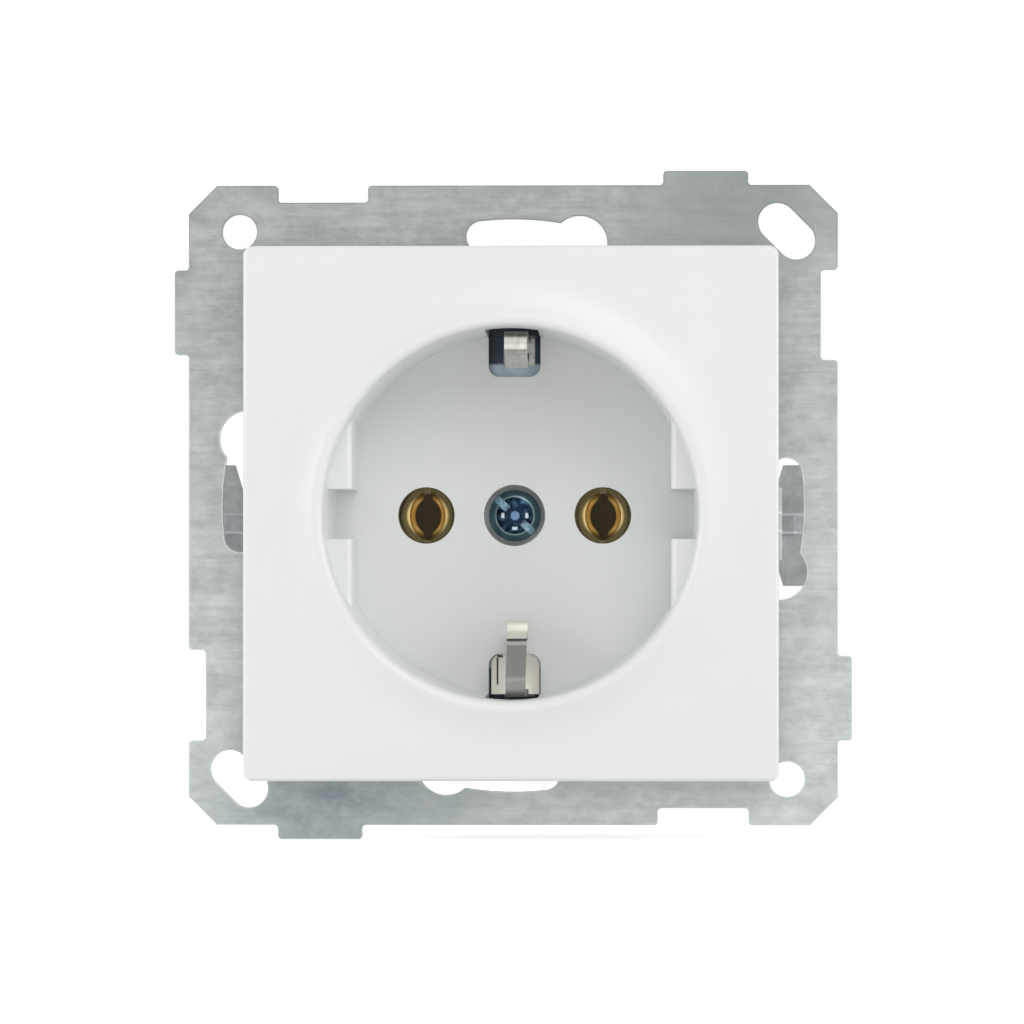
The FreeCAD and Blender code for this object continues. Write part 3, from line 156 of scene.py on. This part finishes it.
# Lamps: place in metres, side of the square, power in watts
LAMPS_AIM = Vector((0.0, 0.01, 0.0))
LAMPS = {
    "key": ((0.25, -0.9, 0.55), 0.5, 2.5),
    "left": ((-0.8, -0.36, 0.08), 0.6, 3.6),
    "right": ((0.8, -0.36, 0.08), 0.6, 3.3),
    "back": ((-0.35, 0.7, 0.6), 0.6, 3.2),
}


def clear_start():
    """Lets go of everything that the frame left selected and removes the empty file's lamp and camera."""
    bpy.ops.object.select_all(action="DESELECT")
    for thing in list(bpy.data.objects):
        if thing.type in ("LIGHT", "CAMERA"):
            bpy.data.objects.remove(thing)


class Paint:
    """A node material that is put together step by step round one shader."""

    def __init__(self, name, colour, roughness, metal=0.0):
        self.material = bpy.data.materials.new(name)
        self.material.use_nodes = True
        self.tree = self.material.node_tree
        self.shader = self.tree.nodes["Principled BSDF"]
        self.shader.inputs["Base Color"].default_value = (*colour, 1.0)
        self.shader.inputs["Roughness"].default_value = roughness
        self.shader.inputs["Metallic"].default_value = metal
        self.place = self.tree.nodes.new("ShaderNodeTexCoord").outputs["Object"]

    def add(self, kind, **settings):
        """A new node with those settings."""
        node = self.tree.nodes.new(kind)
        for key, value in settings.items():
            setattr(node, key, value)
        return node

    def join(self, start, end):
        """A link from an output to an input, in place of the link that was there."""
        self.tree.links.new(start, end)

    def noise(self, per_metre, detail=3.0, roughness=0.55):
        """Cloudy noise from 0 to 1, with so many cells a metre along each axis."""
        mapping = self.add("ShaderNodeMapping")
        mapping.inputs["Scale"].default_value = per_metre
        self.join(self.place, mapping.inputs["Vector"])
        texture = self.add("ShaderNodeTexNoise")
        texture.inputs["Scale"].default_value = 1.0
        texture.inputs["Detail"].default_value = detail
        texture.inputs["Roughness"].default_value = roughness
        self.join(mapping.outputs["Vector"], texture.inputs["Vector"])
        return texture.outputs["Fac"]

    def span(self, value, low, high, new_low=0.0, new_high=1.0):
        """A value from low to high, spread to new_low to new_high."""
        ramp = self.add("ShaderNodeMapRange")
        ramp.inputs["From Min"].default_value = low
        ramp.inputs["From Max"].default_value = high
        ramp.inputs["To Min"].default_value = new_low
        ramp.inputs["To Max"].default_value = new_high
        self.join(value, ramp.inputs["Value"])
        return ramp.outputs["Result"]

    def blend(self, share, first, second):
        """One colour turning into another as the share goes from 0 to 1. Each is a colour or a socket."""
        mix = self.add("ShaderNodeMix", data_type="RGBA")
        self.join(share, mix.inputs["Factor"])
        for socket, colour in ((mix.inputs[6], first), (mix.inputs[7], second)):
            if isinstance(colour, tuple):
                socket.default_value = (*colour, 1.0)
            else:
                self.join(colour, socket)
        return mix.outputs[2]

    def dimmed(self, colour_socket, share):
        """The colour made darker, its pattern kept."""
        scale = self.add("ShaderNodeVectorMath", operation="SCALE")
        self.join(colour_socket, scale.inputs[0])
        self.join(share, scale.inputs["Scale"])
        return scale.outputs["Vector"]

    def math(self, operation, first, second=None):
        """A sum of one or two values, each a number or a socket."""
        node = self.add("ShaderNodeMath", operation=operation)
        for socket, value in zip(node.inputs, (first, second)):
            if isinstance(value, (int, float)):
                socket.default_value = value
            elif value is not None:
                self.join(value, socket)
        return node.outputs[0]

    def product(self, result, *others):
        """All the values multiplied together."""
        for other in others:
            result = self.math("MULTIPLY", result, other)
        return result

    def most(self, result, *others):
        """The largest of the values."""
        for other in others:
            result = self.math("MAXIMUM", result, other)
        return result

    def apart(self, value, middle=0.0):
        """How far a value is from a middle, either way."""
        return self.math("ABSOLUTE", self.math("SUBTRACT", value, middle))

    def axes(self):
        """X, Y and Z of the row frame in millimetres."""
        scale = self.add("ShaderNodeVectorMath", operation="SCALE")
        scale.inputs["Scale"].default_value = 1.0 / MM
        self.join(self.place, scale.inputs[0])
        split = self.add("ShaderNodeSeparateXYZ")
        self.join(scale.outputs["Vector"], split.inputs[0])
        return list(split.outputs)

    def from_axis(self, across, up, centre_across=0.0):
        """Distance from the line into the wall through one point of the front, in millimetres."""
        offset = self.math("POWER", self.math("SUBTRACT", across, centre_across), 2.0)
        height = self.math("POWER", self.math("SUBTRACT", up, AXIS_UP), 2.0)
        return self.math("SQRT", self.math("ADD", offset, height))

    def near_spot(self, spot, reach):
        """1 at a spot, falling to 0 at that reach above or below it and further out sideways."""
        offset = self.add("ShaderNodeVectorMath", operation="SUBTRACT")
        offset.inputs[1].default_value = Vector(spot) * MM
        self.join(self.place, offset.inputs[0])
        flat = self.add("ShaderNodeVectorMath", operation="MULTIPLY")
        flat.inputs[1].default_value = (0.6, 0.0, 1.0)
        self.join(offset.outputs["Vector"], flat.inputs[0])
        away = self.add("ShaderNodeVectorMath", operation="LENGTH")
        self.join(flat.outputs["Vector"], away.inputs[0])
        return self.span(away.outputs["Value"], 0.2 * reach * MM, reach * MM, 1.0, 0.0)

    def between(self, value, low, high, soft):
        """1 where a value lies between two limits, fading over a soft margin outside them."""
        rise = self.span(value, low - soft, low)
        fall = self.span(value, high, high + soft, 1.0, 0.0)
        return self.product(rise, fall)

    def within(self, *limits):
        """1 inside a box given as a value, a low and a high limit and a soft margin each way."""
        return self.product(*[self.between(*limit) for limit in limits])

    def thread(self, seat, way, long):
        """The height of a helical thread round a shank, 0 on the head."""
        offsets = [self.math("SUBTRACT", value, start) for value, start in zip(self.axes(), seat)]
        run = [abs(part) for part in way].index(1)
        along, first, second = offsets[run:] + offsets[:run]
        round_turns = self.math("DIVIDE", self.math("ARCTAN2", first, second), math.tau)
        turns = self.math("ADD", self.math("DIVIDE", along, THREAD_PITCH), round_turns)
        depth = self.math("MULTIPLY", along, sum(way))
        shank = self.between(depth, THREAD_STOPS, long - THREAD_STOPS, 0.1)
        return self.product(self.math("PINGPONG", turns, 0.5), shank)

    def colour(self, socket):
        """The colour that shows from now on. It is kept as coat, for more work on it."""
        self.coat = socket
        self.join(socket, self.shader.inputs["Base Color"])

    def rough(self, socket):
        """The roughness."""
        self.join(socket, self.shader.inputs["Roughness"])

    def bump(self, height, distance, strength=1.0):
        """Relief of that distance in mm, on top of the relief that is there."""
        node = self.add("ShaderNodeBump")
        node.inputs["Strength"].default_value = strength
        node.inputs["Distance"].default_value = distance * MM
        self.join(height, node.inputs["Height"])
        if self.shader.inputs["Normal"].is_linked:
            self.join(self.shader.inputs["Normal"].links[0].from_socket, node.inputs["Normal"])
        self.join(node.outputs["Normal"], self.shader.inputs["Normal"])

    def painted_edge_light(self, colour_socket, edge_colour, reach):
        """The colour turns to edge_colour, a painted highlight or shade, where the surface has a sharp edge
        within reach, in mm.
        """
        bevel = self.add("ShaderNodeBevel", samples=4)
        bevel.inputs["Radius"].default_value = reach * MM
        geometry = self.add("ShaderNodeNewGeometry")
        facing = self.add("ShaderNodeVectorMath", operation="DOT_PRODUCT")
        self.join(bevel.outputs["Normal"], facing.inputs[0])
        self.join(geometry.outputs["Normal"], facing.inputs[1])
        return self.blend(self.span(facing.outputs["Value"], 0.93, 0.75), colour_socket, edge_colour)


def galvanised_sheet():
    """Dull zinc sheet: soft level brushing, mottling, two dark patches, painted shade towards the top, and
    cut edges with a painted highlight low down and painted shade high up.
    """
    paint = Paint("galvanised sheet", (0.5, 0.53, 0.52), 0.42, metal=0.8)
    blotch = paint.noise((260.0, 260.0, 340.0), detail=5.0, roughness=0.65)
    brush = paint.noise((90.0, 300.0, 1500.0), detail=5.0, roughness=0.7)
    mottle = paint.noise((620.0, 620.0, 900.0), detail=5.0, roughness=0.7)
    body = paint.blend(paint.span(blotch, 0.3, 0.7), (0.39, 0.415, 0.41), (0.58, 0.615, 0.6))
    lined = paint.blend(paint.span(brush, 0.35, 0.75, 0.0, 0.8), body, (0.34, 0.365, 0.37))
    mottled = paint.blend(paint.span(mottle, 0.4, 0.8, 0.0, 0.55), lined, (0.66, 0.7, 0.69))
    lower = paint.product(paint.span(blotch, 0.35, 0.65, 0.3, 1.0), paint.near_spot(*LOWER_DARK_PATCH))
    upper = paint.product(paint.span(mottle, 0.3, 0.7, 0.4, 0.9), paint.near_spot(*UPPER_DARK_PATCH))
    lower_patched = paint.blend(lower, mottled, (0.25, 0.29, 0.31))
    dark_corner = paint.blend(upper, lower_patched, (0.3, 0.325, 0.33))
    _, _, up = paint.axes()
    # Painted shade: the sheet darker towards the top.
    shaded_to_top = paint.dimmed(dark_corner, paint.span(up, -24.0, 34.0, 1.0, 0.68))
    # Painted highlight on the cut edges low down, turning to painted shade on them high up.
    edges = paint.blend(paint.span(up, 10.0, 30.0), (0.66, 0.7, 0.71), (0.12, 0.13, 0.14))
    paint.colour(paint.painted_edge_light(shaded_to_top, edges, 0.35))
    paint.rough(paint.span(blotch, 0.25, 0.75, 0.36, 0.54))
    paint.bump(brush, 0.02, 0.4)
    return paint


def white_cover():
    """White moulded plastic with a soft gloss and a very faint ripple."""
    paint = Paint("white moulded cover", (0.8, 0.82, 0.805), 0.34)
    paint.shader.inputs["Coat Weight"].default_value = 0.12
    paint.shader.inputs["Coat Roughness"].default_value = 0.14
    cloud = paint.noise((45.0, 45.0, 45.0), detail=2.0)
    paint.colour(paint.blend(paint.span(cloud, 0.3, 0.7), (0.795, 0.815, 0.8), (0.815, 0.83, 0.815)))
    ripple = paint.noise((260.0, 260.0, 260.0), detail=3.0)
    paint.rough(paint.span(ripple, 0.3, 0.7, 0.31, 0.39))
    paint.bump(ripple, 0.004, 0.5)
    return paint


def zinc_blue(name, light, dark, roughness=0.26):
    """Steel with a blue zinc plate."""
    paint = Paint(name, light, roughness, metal=1.0)
    cloud = paint.noise((420.0, 420.0, 420.0), detail=3.0)
    paint.colour(paint.blend(paint.span(cloud, 0.3, 0.7), light, dark))
    paint.rough(paint.span(cloud, 0.3, 0.7, roughness, roughness + 0.12))
    paint.bump(paint.noise((5200.0, 5200.0, 5200.0), detail=2.0), 0.008, 0.5)
    return paint


def strap_zinc():
    """Blue zinc of the strap, dark where the clips' windows lie in shade."""
    paint = zinc_blue("strap blue zinc", (0.42, 0.5, 0.56), (0.3, 0.37, 0.43))
    across, _, up = paint.axes()
    beyond = (paint.apart(up, AXIS_UP), *WINDOW_REACH, 0.3)
    beside = (paint.apart(across), 0.0, WINDOW_HALF, 0.5)
    paint.colour(paint.blend(paint.within(beyond, beside), paint.coat, (0.05, 0.065, 0.08)))
    return paint


def plated_screw(name, seat, way, long, light=(0.56, 0.61, 0.64), dark=(0.4, 0.46, 0.5)):
    """Blue zinc plated screw with its thread as relief."""
    paint = zinc_blue(name, light, dark, 0.2)
    paint.bump(paint.thread(seat, way, long), THREAD_HEIGHT)
    return paint


def screw_glints(paint, across, up, away):
    """Painted glints: small bright spots left, right and below the middle of the cover screw."""
    below = paint.within((away, 1.3, 1.5, 0.12), (across, -0.2, 0.2, 0.14), (up, -9.0, AXIS_UP, 0.1))
    level = paint.within((away, 1.2, 1.4, 0.12), (up, AXIS_UP - 0.2, AXIS_UP + 0.2, 0.14))
    return paint.most(below, level)


def cover_screw_plate(name, seat, way, long):
    """The dark head of the cover screw: teal rim, a thin paler ring, a nearly black middle and painted
    glints.
    """
    paint = plated_screw(name, seat, way, long, (0.12, 0.2, 0.235), (0.055, 0.115, 0.14))
    across, _, up = paint.axes()
    away = paint.from_axis(across, up)
    head_cloud = paint.noise((1500.0, 1500.0, 1500.0), detail=2.0)
    near_black = paint.blend(paint.span(head_cloud, 0.45, 0.62), (0.004, 0.007, 0.015), (0.025, 0.055, 0.09))
    head = paint.blend(paint.between(away, 0.0, 1.95, 0.12), paint.coat, near_black)
    ringed = paint.blend(paint.between(away, 2.05, 2.1, 0.08), head, (0.26, 0.33, 0.34))
    # Painted glints left, right and below the middle.
    paint.colour(paint.blend(screw_glints(paint, across, up, away), ringed, (0.5, 0.56, 0.6)))
    return paint


def cover_screw_recess():
    """Recess of the cover screw: pale blue slot ends, arms darkened as painted shade, a blue middle and
    painted glints.
    """
    paint = Paint("cover screw recess", (0.07, 0.12, 0.19), 0.3, metal=0.8)
    across, _, up = paint.axes()
    away = paint.from_axis(across, up)
    cloud = paint.noise((2200.0, 2200.0, 2200.0), detail=2.0)
    ends = paint.blend(paint.span(cloud, 0.35, 0.65), (0.09, 0.17, 0.24), (0.3, 0.43, 0.5))
    faded = paint.blend(paint.span(away, 2.0, 2.4), ends, (0.09, 0.16, 0.19))
    # Painted shade: the recess dark, all but the two ends of the slot.
    turned = paint.product(across, paint.math("SUBTRACT", up, AXIS_UP))
    in_slot = paint.product(paint.span(away, 1.0, 1.25), paint.span(turned, -0.3, 0.0, 1.0, 0.0))
    arms = paint.blend(in_slot, (0.01, 0.024, 0.06), faded)
    middle = paint.blend(paint.span(away, 0.42, 0.55, 1.0, 0.0), arms, (0.16, 0.27, 0.42))
    paint.colour(paint.blend(screw_glints(paint, across, up, away), middle, (0.75, 0.82, 0.86)))
    return paint


def screw_recess():
    """Dark plate inside the recess of a screw, as painted shade."""
    paint = Paint("screw recess", (0.07, 0.12, 0.19), 0.3, metal=0.9)
    cloud = paint.noise((1600.0, 1600.0, 1600.0), detail=2.0)
    paint.colour(paint.blend(paint.span(cloud, 0.4, 0.7), (0.03, 0.05, 0.09), (0.22, 0.34, 0.46)))
    return paint


def claw_zinc():
    """Heavier grey zinc plate of the claws, satin and mottled, with painted highlights on its pressed lines
    and bends.
    """
    paint = Paint("claw zinc", (0.6, 0.63, 0.64), 0.5, metal=0.45)
    mottle = paint.noise((600.0, 600.0, 600.0), detail=4.0, roughness=0.6)
    zinc = paint.blend(paint.span(mottle, 0.3, 0.7), (0.4, 0.425, 0.43), (0.62, 0.65, 0.66))
    across, _, up = paint.axes()
    horns = (paint.apart(across), *CLAW_HORNS, 0.2)
    # Painted highlights along the two pressed lines and the bends of the horns.
    lines = [paint.within(horns, (up, *line, 0.14)) for line in PRESSED_LINES]
    pressed = paint.blend(paint.most(*lines), zinc, (0.74, 0.78, 0.79))
    bend_highlight = paint.within(horns, (paint.apart(up, CLAW_UP), *CLAW_BENDS, 0.9))
    paint.colour(paint.blend(paint.product(bend_highlight, 0.7), pressed, (0.8, 0.82, 0.8)))
    paint.rough(paint.span(mottle, 0.3, 0.7, 0.4, 0.6))
    paint.bump(mottle, 0.03, 0.5)
    return paint


def bright_steel():
    """Bright drawn steel of the rivets and the saddle clamps."""
    paint = Paint("bright steel", (0.68, 0.68, 0.66), 0.28, metal=1.0)
    drawn = paint.noise((2400.0, 2400.0, 2400.0), detail=3.0)
    paint.colour(paint.blend(paint.span(drawn, 0.3, 0.7), (0.58, 0.58, 0.56), (0.76, 0.755, 0.73)))
    paint.rough(paint.span(drawn, 0.3, 0.7, 0.22, 0.4))
    paint.bump(drawn, 0.01, 0.5)
    return paint


def block_moulding():
    """The insulating block: off-white, matt and a little grainy."""
    paint = Paint("off-white block moulding", (0.8, 0.79, 0.74), 0.62)
    cloud = paint.noise((120.0, 120.0, 120.0), detail=3.0)
    paint.colour(paint.blend(paint.span(cloud, 0.3, 0.7), (0.77, 0.76, 0.71), (0.83, 0.82, 0.78)))
    grain = paint.noise((1900.0, 1900.0, 1900.0), detail=3.0)
    paint.rough(paint.span(grain, 0.3, 0.7, 0.55, 0.72))
    paint.bump(grain, 0.02, 0.6)
    return paint


def clip_zones(paint):
    """The parts of the lower earth clip where light and shade are painted, each as a share from 0 to 1."""
    across, depth, up = paint.axes()
    strip = (across, *CLIP_ACROSS)
    return {
        "nose": paint.within(strip, (up, *NOSE_UP)),
        "gap": paint.within(strip, (up, *GAP_UP)),
        "edge": paint.within(strip, (up, *EDGE_UP)),
        "tongue": paint.within(strip, (up, *TONGUE_UP)),
        "cheek": paint.within((depth, *CHEEK_DEPTH), (up, *CHEEK_UP)),
        "slit": paint.within((across, *SLIT_ACROSS), (up, *SLIT_UP)),
        "hook": paint.within((across, *HOOK_ACROSS), (up, *HOOK_UP)),
        "shade": paint.within((depth, *SHADE_DEPTH), (up, *SHADE_UP)),
    }


def nickel_strip():
    """Nickel plated spring strip, warm grey, with dark rubbed patches and, on the lower clip, painted
    highlights, shadows, shade and glow.
    """
    paint = Paint("nickel plated strip", (0.62, 0.6, 0.54), 0.3, metal=1.0)
    rolled = paint.noise((2600.0, 500.0, 500.0), detail=3.0)
    patch = paint.noise((900.0, 900.0, 900.0), detail=4.0, roughness=0.65)
    body = paint.blend(paint.span(rolled, 0.3, 0.7), (0.56, 0.545, 0.5), (0.7, 0.685, 0.64))
    paint.colour(paint.blend(paint.span(patch, 0.5, 0.75, 0.0, 0.55), body, (0.36, 0.345, 0.3)))
    zones = clip_zones(paint)
    # Painted light on the lower clip: highlights on the nose, the edge and the cheek, shadow in the gap,
    # the slit and the hook, and shade on the tongue.
    for zone, painted_tone in (
        ("nose", (0.8, 0.78, 0.7)),
        ("gap", (0.12, 0.11, 0.1)),
        ("edge", (0.9, 0.9, 0.86)),
        ("tongue", (0.3, 0.3, 0.285)),
        ("cheek", (0.93, 0.9, 0.8)),
        ("slit", (0.1, 0.09, 0.08)),
        ("hook", (0.14, 0.13, 0.12)),
    ):
        paint.colour(paint.blend(zones[zone], paint.coat, painted_tone))
    flat = paint.most(*[zones[zone] for zone in ("nose", "cheek", "tongue", "shade")])
    off_cheek = paint.span(zones["cheek"], 0.0, 1.0, 1.0, 0.0)
    metal = paint.product(paint.span(flat, 0.0, 1.0, 1.0, 0.35), off_cheek)
    paint.join(metal, paint.shader.inputs["Metallic"])
    # Painted glow on the cheek, left off on the slit and the hook.
    uncut = paint.span(paint.most(zones["slit"], zones["hook"]), 0.0, 1.0, 0.3, 0.0)
    paint.shader.inputs["Emission Color"].default_value = (0.85, 0.82, 0.73, 1.0)
    paint.join(paint.product(zones["cheek"], uncut), paint.shader.inputs["Emission Strength"])
    glossy = paint.span(patch, 0.3, 0.7, 0.24, 0.42)
    paint.rough(paint.most(glossy, paint.product(flat, 0.5)))
    paint.bump(rolled, 0.012, 0.6)
    return paint


def brass_strip():
    """Rolled brass: inner edges of the leaves made bright by painted glow, painted shade in dark olive
    outside them and deep in the sleeve.
    """
    paint = Paint("rolled brass strip", (0.78, 0.58, 0.25), 0.28, metal=0.85)
    rolled = paint.noise((500.0, 3800.0, 500.0), detail=3.0)
    patch = paint.noise((520.0, 520.0, 520.0), detail=3.0)
    body = paint.blend(paint.span(rolled, 0.3, 0.7), (0.72, 0.5, 0.17), (0.88, 0.68, 0.32))
    patched = paint.blend(paint.span(patch, 0.5, 0.8, 0.0, 0.4), body, (0.45, 0.33, 0.13))
    across, depth, up = paint.axes()
    away = paint.from_axis(paint.apart(across), up, PIN_ACROSS)
    height = paint.apart(up, AXIS_UP)
    amber = paint.blend(paint.span(away, 1.5, 1.8, 1.0, 0.0), patched, (0.66, 0.38, 0.08))
    # Painted shade in dark olive outside the leaves' inner edges, and olive brown deep in the sleeve.
    outside = paint.most(paint.span(away, 2.0, 2.35), paint.span(height, 1.5, 2.2, 0.0, 0.75))
    olive = paint.blend(outside, amber, (0.105, 0.085, 0.035))
    paint.colour(paint.blend(paint.span(depth, *DEEP_PAINTED_SHADE), olive, (0.3, 0.25, 0.13)))
    # Painted glow inside the sleeve, brighter on the leaves' inner edges.
    inside = paint.between(depth, *SLEEVE_INSIDE, 0.5)
    rim = paint.within((depth, *LEAF_EDGES, 0.5), (away, 1.35, 2.1, 0.12), (height, 0.0, 1.4, 0.6))
    gold = paint.blend(paint.span(away, 1.6, 1.95), (0.62, 0.33, 0.06), (0.95, 0.72, 0.27))
    paint.join(paint.blend(rim, (0.3, 0.25, 0.14), gold), paint.shader.inputs["Emission Color"])
    glow = paint.most(paint.product(inside, 0.13), paint.product(rim, 0.24))
    paint.join(glow, paint.shader.inputs["Emission Strength"])
    paint.rough(paint.span(patch, 0.3, 0.7, 0.22, 0.4))
    paint.bump(rolled, 0.01, 0.5)
    return paint


def dress(names, paint):
    """One material on every slot of each named piece."""
    for name in names:
        mesh = NODES[name].data
        mesh.materials.clear()
        mesh.materials.append(paint.material)
        for face in mesh.polygons:
            face.material_index = 0


def dress_recess(mesh, paint, seat, way, head_radius, head_high):
    """A second material on the walls and the foot of a screw's recess."""
    mesh.materials.append(paint.material)
    axis = Vector(way)
    top = Vector(seat) - axis * head_high
    for face in mesh.polygons:
        offset = face.center / MM - top
        depth = offset.dot(axis)
        away = (offset - axis * depth).length
        facing = abs(face.normal.dot(axis))
        wall = facing < 0.05 and away < head_radius - RECESS_RIM
        foot = facing > 0.999 and depth > RECESS_FOOT
        if depth < RECESS_DEPTH and away < head_radius and (wall or foot):
            face.material_index = 1


def dress_screws():
    """Plate and thread on each screw, with its recess darker as painted shade."""
    recess = screw_recess()
    for name, (seat, way, head_radius, head_high, long) in SCREWS.items():
        if name == "cover_screw":
            plate, inside = cover_screw_plate(f"{name} zinc", seat, way, long), cover_screw_recess()
        else:
            plate, inside = plated_screw(f"{name} zinc", seat, way, long), recess
        dress([name], plate)
        dress_recess(NODES[name].data, inside, seat, way, head_radius, head_high)


def dress_all():
    """Every node gets its finish."""
    dress(["support_frame"], galvanised_sheet())
    dress(COVER_MOULDING, white_cover())
    dress(["claw_left", "claw_right"], claw_zinc())
    dress(["base_strap"], strap_zinc())
    dress_screws()
    rivets = [f"{word}_rivet_{end}" for word in ("strap", "base") for end in ("top", "bottom")]
    clamps = [f"{word}_clamp" for word in ("line", "neutral", "earth")]
    dress(rivets + clamps, bright_steel())
    dress(["contact_base", "rear_cover"], block_moulding())
    dress(["earth_bow"], nickel_strip())
    dress(["line_contact", "neutral_contact"], brass_strip())


def add_nose_roll():
    """The rolled end of the lower earth clip, hollow at both ends, which catches the light."""
    bpy.ops.mesh.primitive_cylinder_add(
        vertices=32, radius=ROLL_RADIUS * MM, depth=ROLL_LENGTH * MM, rotation=(0.0, math.pi / 2, 0.0)
    )
    roll = bpy.context.object
    roll.name = "lower_clip_roll"
    bpy.ops.object.transform_apply(location=False, rotation=True, scale=False)
    bpy.ops.object.mode_set(mode="EDIT")
    bpy.ops.mesh.select_all(action="SELECT")
    bpy.ops.transform.resize(value=(1.0, ROLL_FLATNESS, 1.0))
    bpy.ops.transform.translate(value=Vector(ROLL_MIDDLE) * MM)
    bpy.ops.mesh.select_all(action="DESELECT")
    bpy.ops.mesh.select_mode(type="FACE")
    bpy.ops.object.mode_set(mode="OBJECT")
    for face in roll.data.polygons:
        face.select = abs(face.normal.x) > 0.9
    bpy.ops.object.mode_set(mode="EDIT")
    bpy.ops.mesh.inset(thickness=ROLL_WALL * MM, use_individual=True)
    bpy.ops.mesh.inset(thickness=0.02 * MM, depth=-ROLL_HOLLOW * MM, use_individual=True)
    bpy.ops.mesh.select_all(action="DESELECT")
    bpy.ops.object.mode_set(mode="OBJECT")
    soften = roll.modifiers.new("soft ends", "BEVEL")
    soften.width = ROLL_SOFTENING * MM
    soften.segments = 2
    soften.angle_limit = math.radians(50.0)
    bpy.ops.object.modifier_apply(modifier=soften.name)
    bpy.ops.object.shade_smooth_by_angle(angle=math.radians(40.0))
    roll.data.materials.append(NODES["earth_bow"].data.materials[0])
    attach(roll, "socket")


def turned_to(place, target):
    """The rotation that makes a lamp or a camera look from a place at a target."""
    return (target - place).to_track_quat("-Z", "Y").to_euler()


def add_camera():
    """The camera where the photo was taken from."""
    bpy.ops.object.camera_add(location=CAMERA_AT)
    camera = bpy.context.object
    camera.name = "photo_camera"
    camera.rotation_euler = turned_to(CAMERA_AT, PLATE_CENTRE)
    camera.data.sensor_width = SENSOR
    camera.data.lens = FOCAL_PIXELS * SENSOR / IMAGE_PIXELS
    camera.data.clip_start = NEAREST_SEEN
    bpy.context.scene.camera = camera


def add_lamps():
    """Soft square lamps round the socket, all turned to its middle."""
    for name, (place, side, power) in LAMPS.items():
        bpy.ops.object.light_add(type="AREA", location=place)
        lamp = bpy.context.object
        lamp.name = f"{name}_lamp"
        lamp.data.shape = "SQUARE"
        lamp.data.size = side
        lamp.data.energy = power
        lamp.rotation_euler = turned_to(Vector(place), LAMPS_AIM)


def seen_directly(tree):
    """1 for rays from the camera, from a mirror-like surface or through glass, else 0."""
    rays = tree.nodes.new("ShaderNodeLightPath")
    total = rays.outputs["Is Camera Ray"]
    for other in ("Is Glossy Ray", "Is Transmission Ray"):
        most = tree.nodes.new("ShaderNodeMath")
        most.operation = "MAXIMUM"
        tree.links.new(total, most.inputs[0])
        tree.links.new(rays.outputs[other], most.inputs[1])
        total = most.outputs[0]
    return total


def set_world():
    """White where it is seen, and dimmer as light on the socket."""
    world = bpy.data.worlds.new("white room")
    world.use_nodes = True
    bpy.context.scene.world = world
    tree = world.node_tree
    background = tree.nodes["Background"]
    background.inputs["Color"].default_value = WHITE
    strength = tree.nodes.new("ShaderNodeMapRange")
    strength.inputs["To Min"].default_value = AMBIENT
    strength.inputs["To Max"].default_value = 1.0
    tree.links.new(seen_directly(tree), strength.inputs["Value"])
    tree.links.new(strength.outputs["Result"], background.inputs["Strength"])


def add_floor():
    """A pale floor under the socket, which looks brighter than the light it gives."""
    low = CAD_BOX[0]
    bpy.ops.mesh.primitive_plane_add(size=FLOOR_ACROSS, location=(0.0, 0.0, low[2]))
    floor = bpy.context.object
    floor.name = "pale_floor"
    paint = Paint("pale floor", (0.9, 0.9, 0.9), 0.8)
    paint.shader.inputs["Emission Color"].default_value = WHITE
    lift = paint.product(seen_directly(paint.tree), FLOOR_LIFT)
    paint.join(lift, paint.shader.inputs["Emission Strength"])
    floor.data.materials.append(paint.material)


clear_start()
dress_all()
add_nose_roll()
add_camera()
add_lamps()
set_world()
add_floor()
bpy.context.scene.view_settings.view_transform = "Standard"
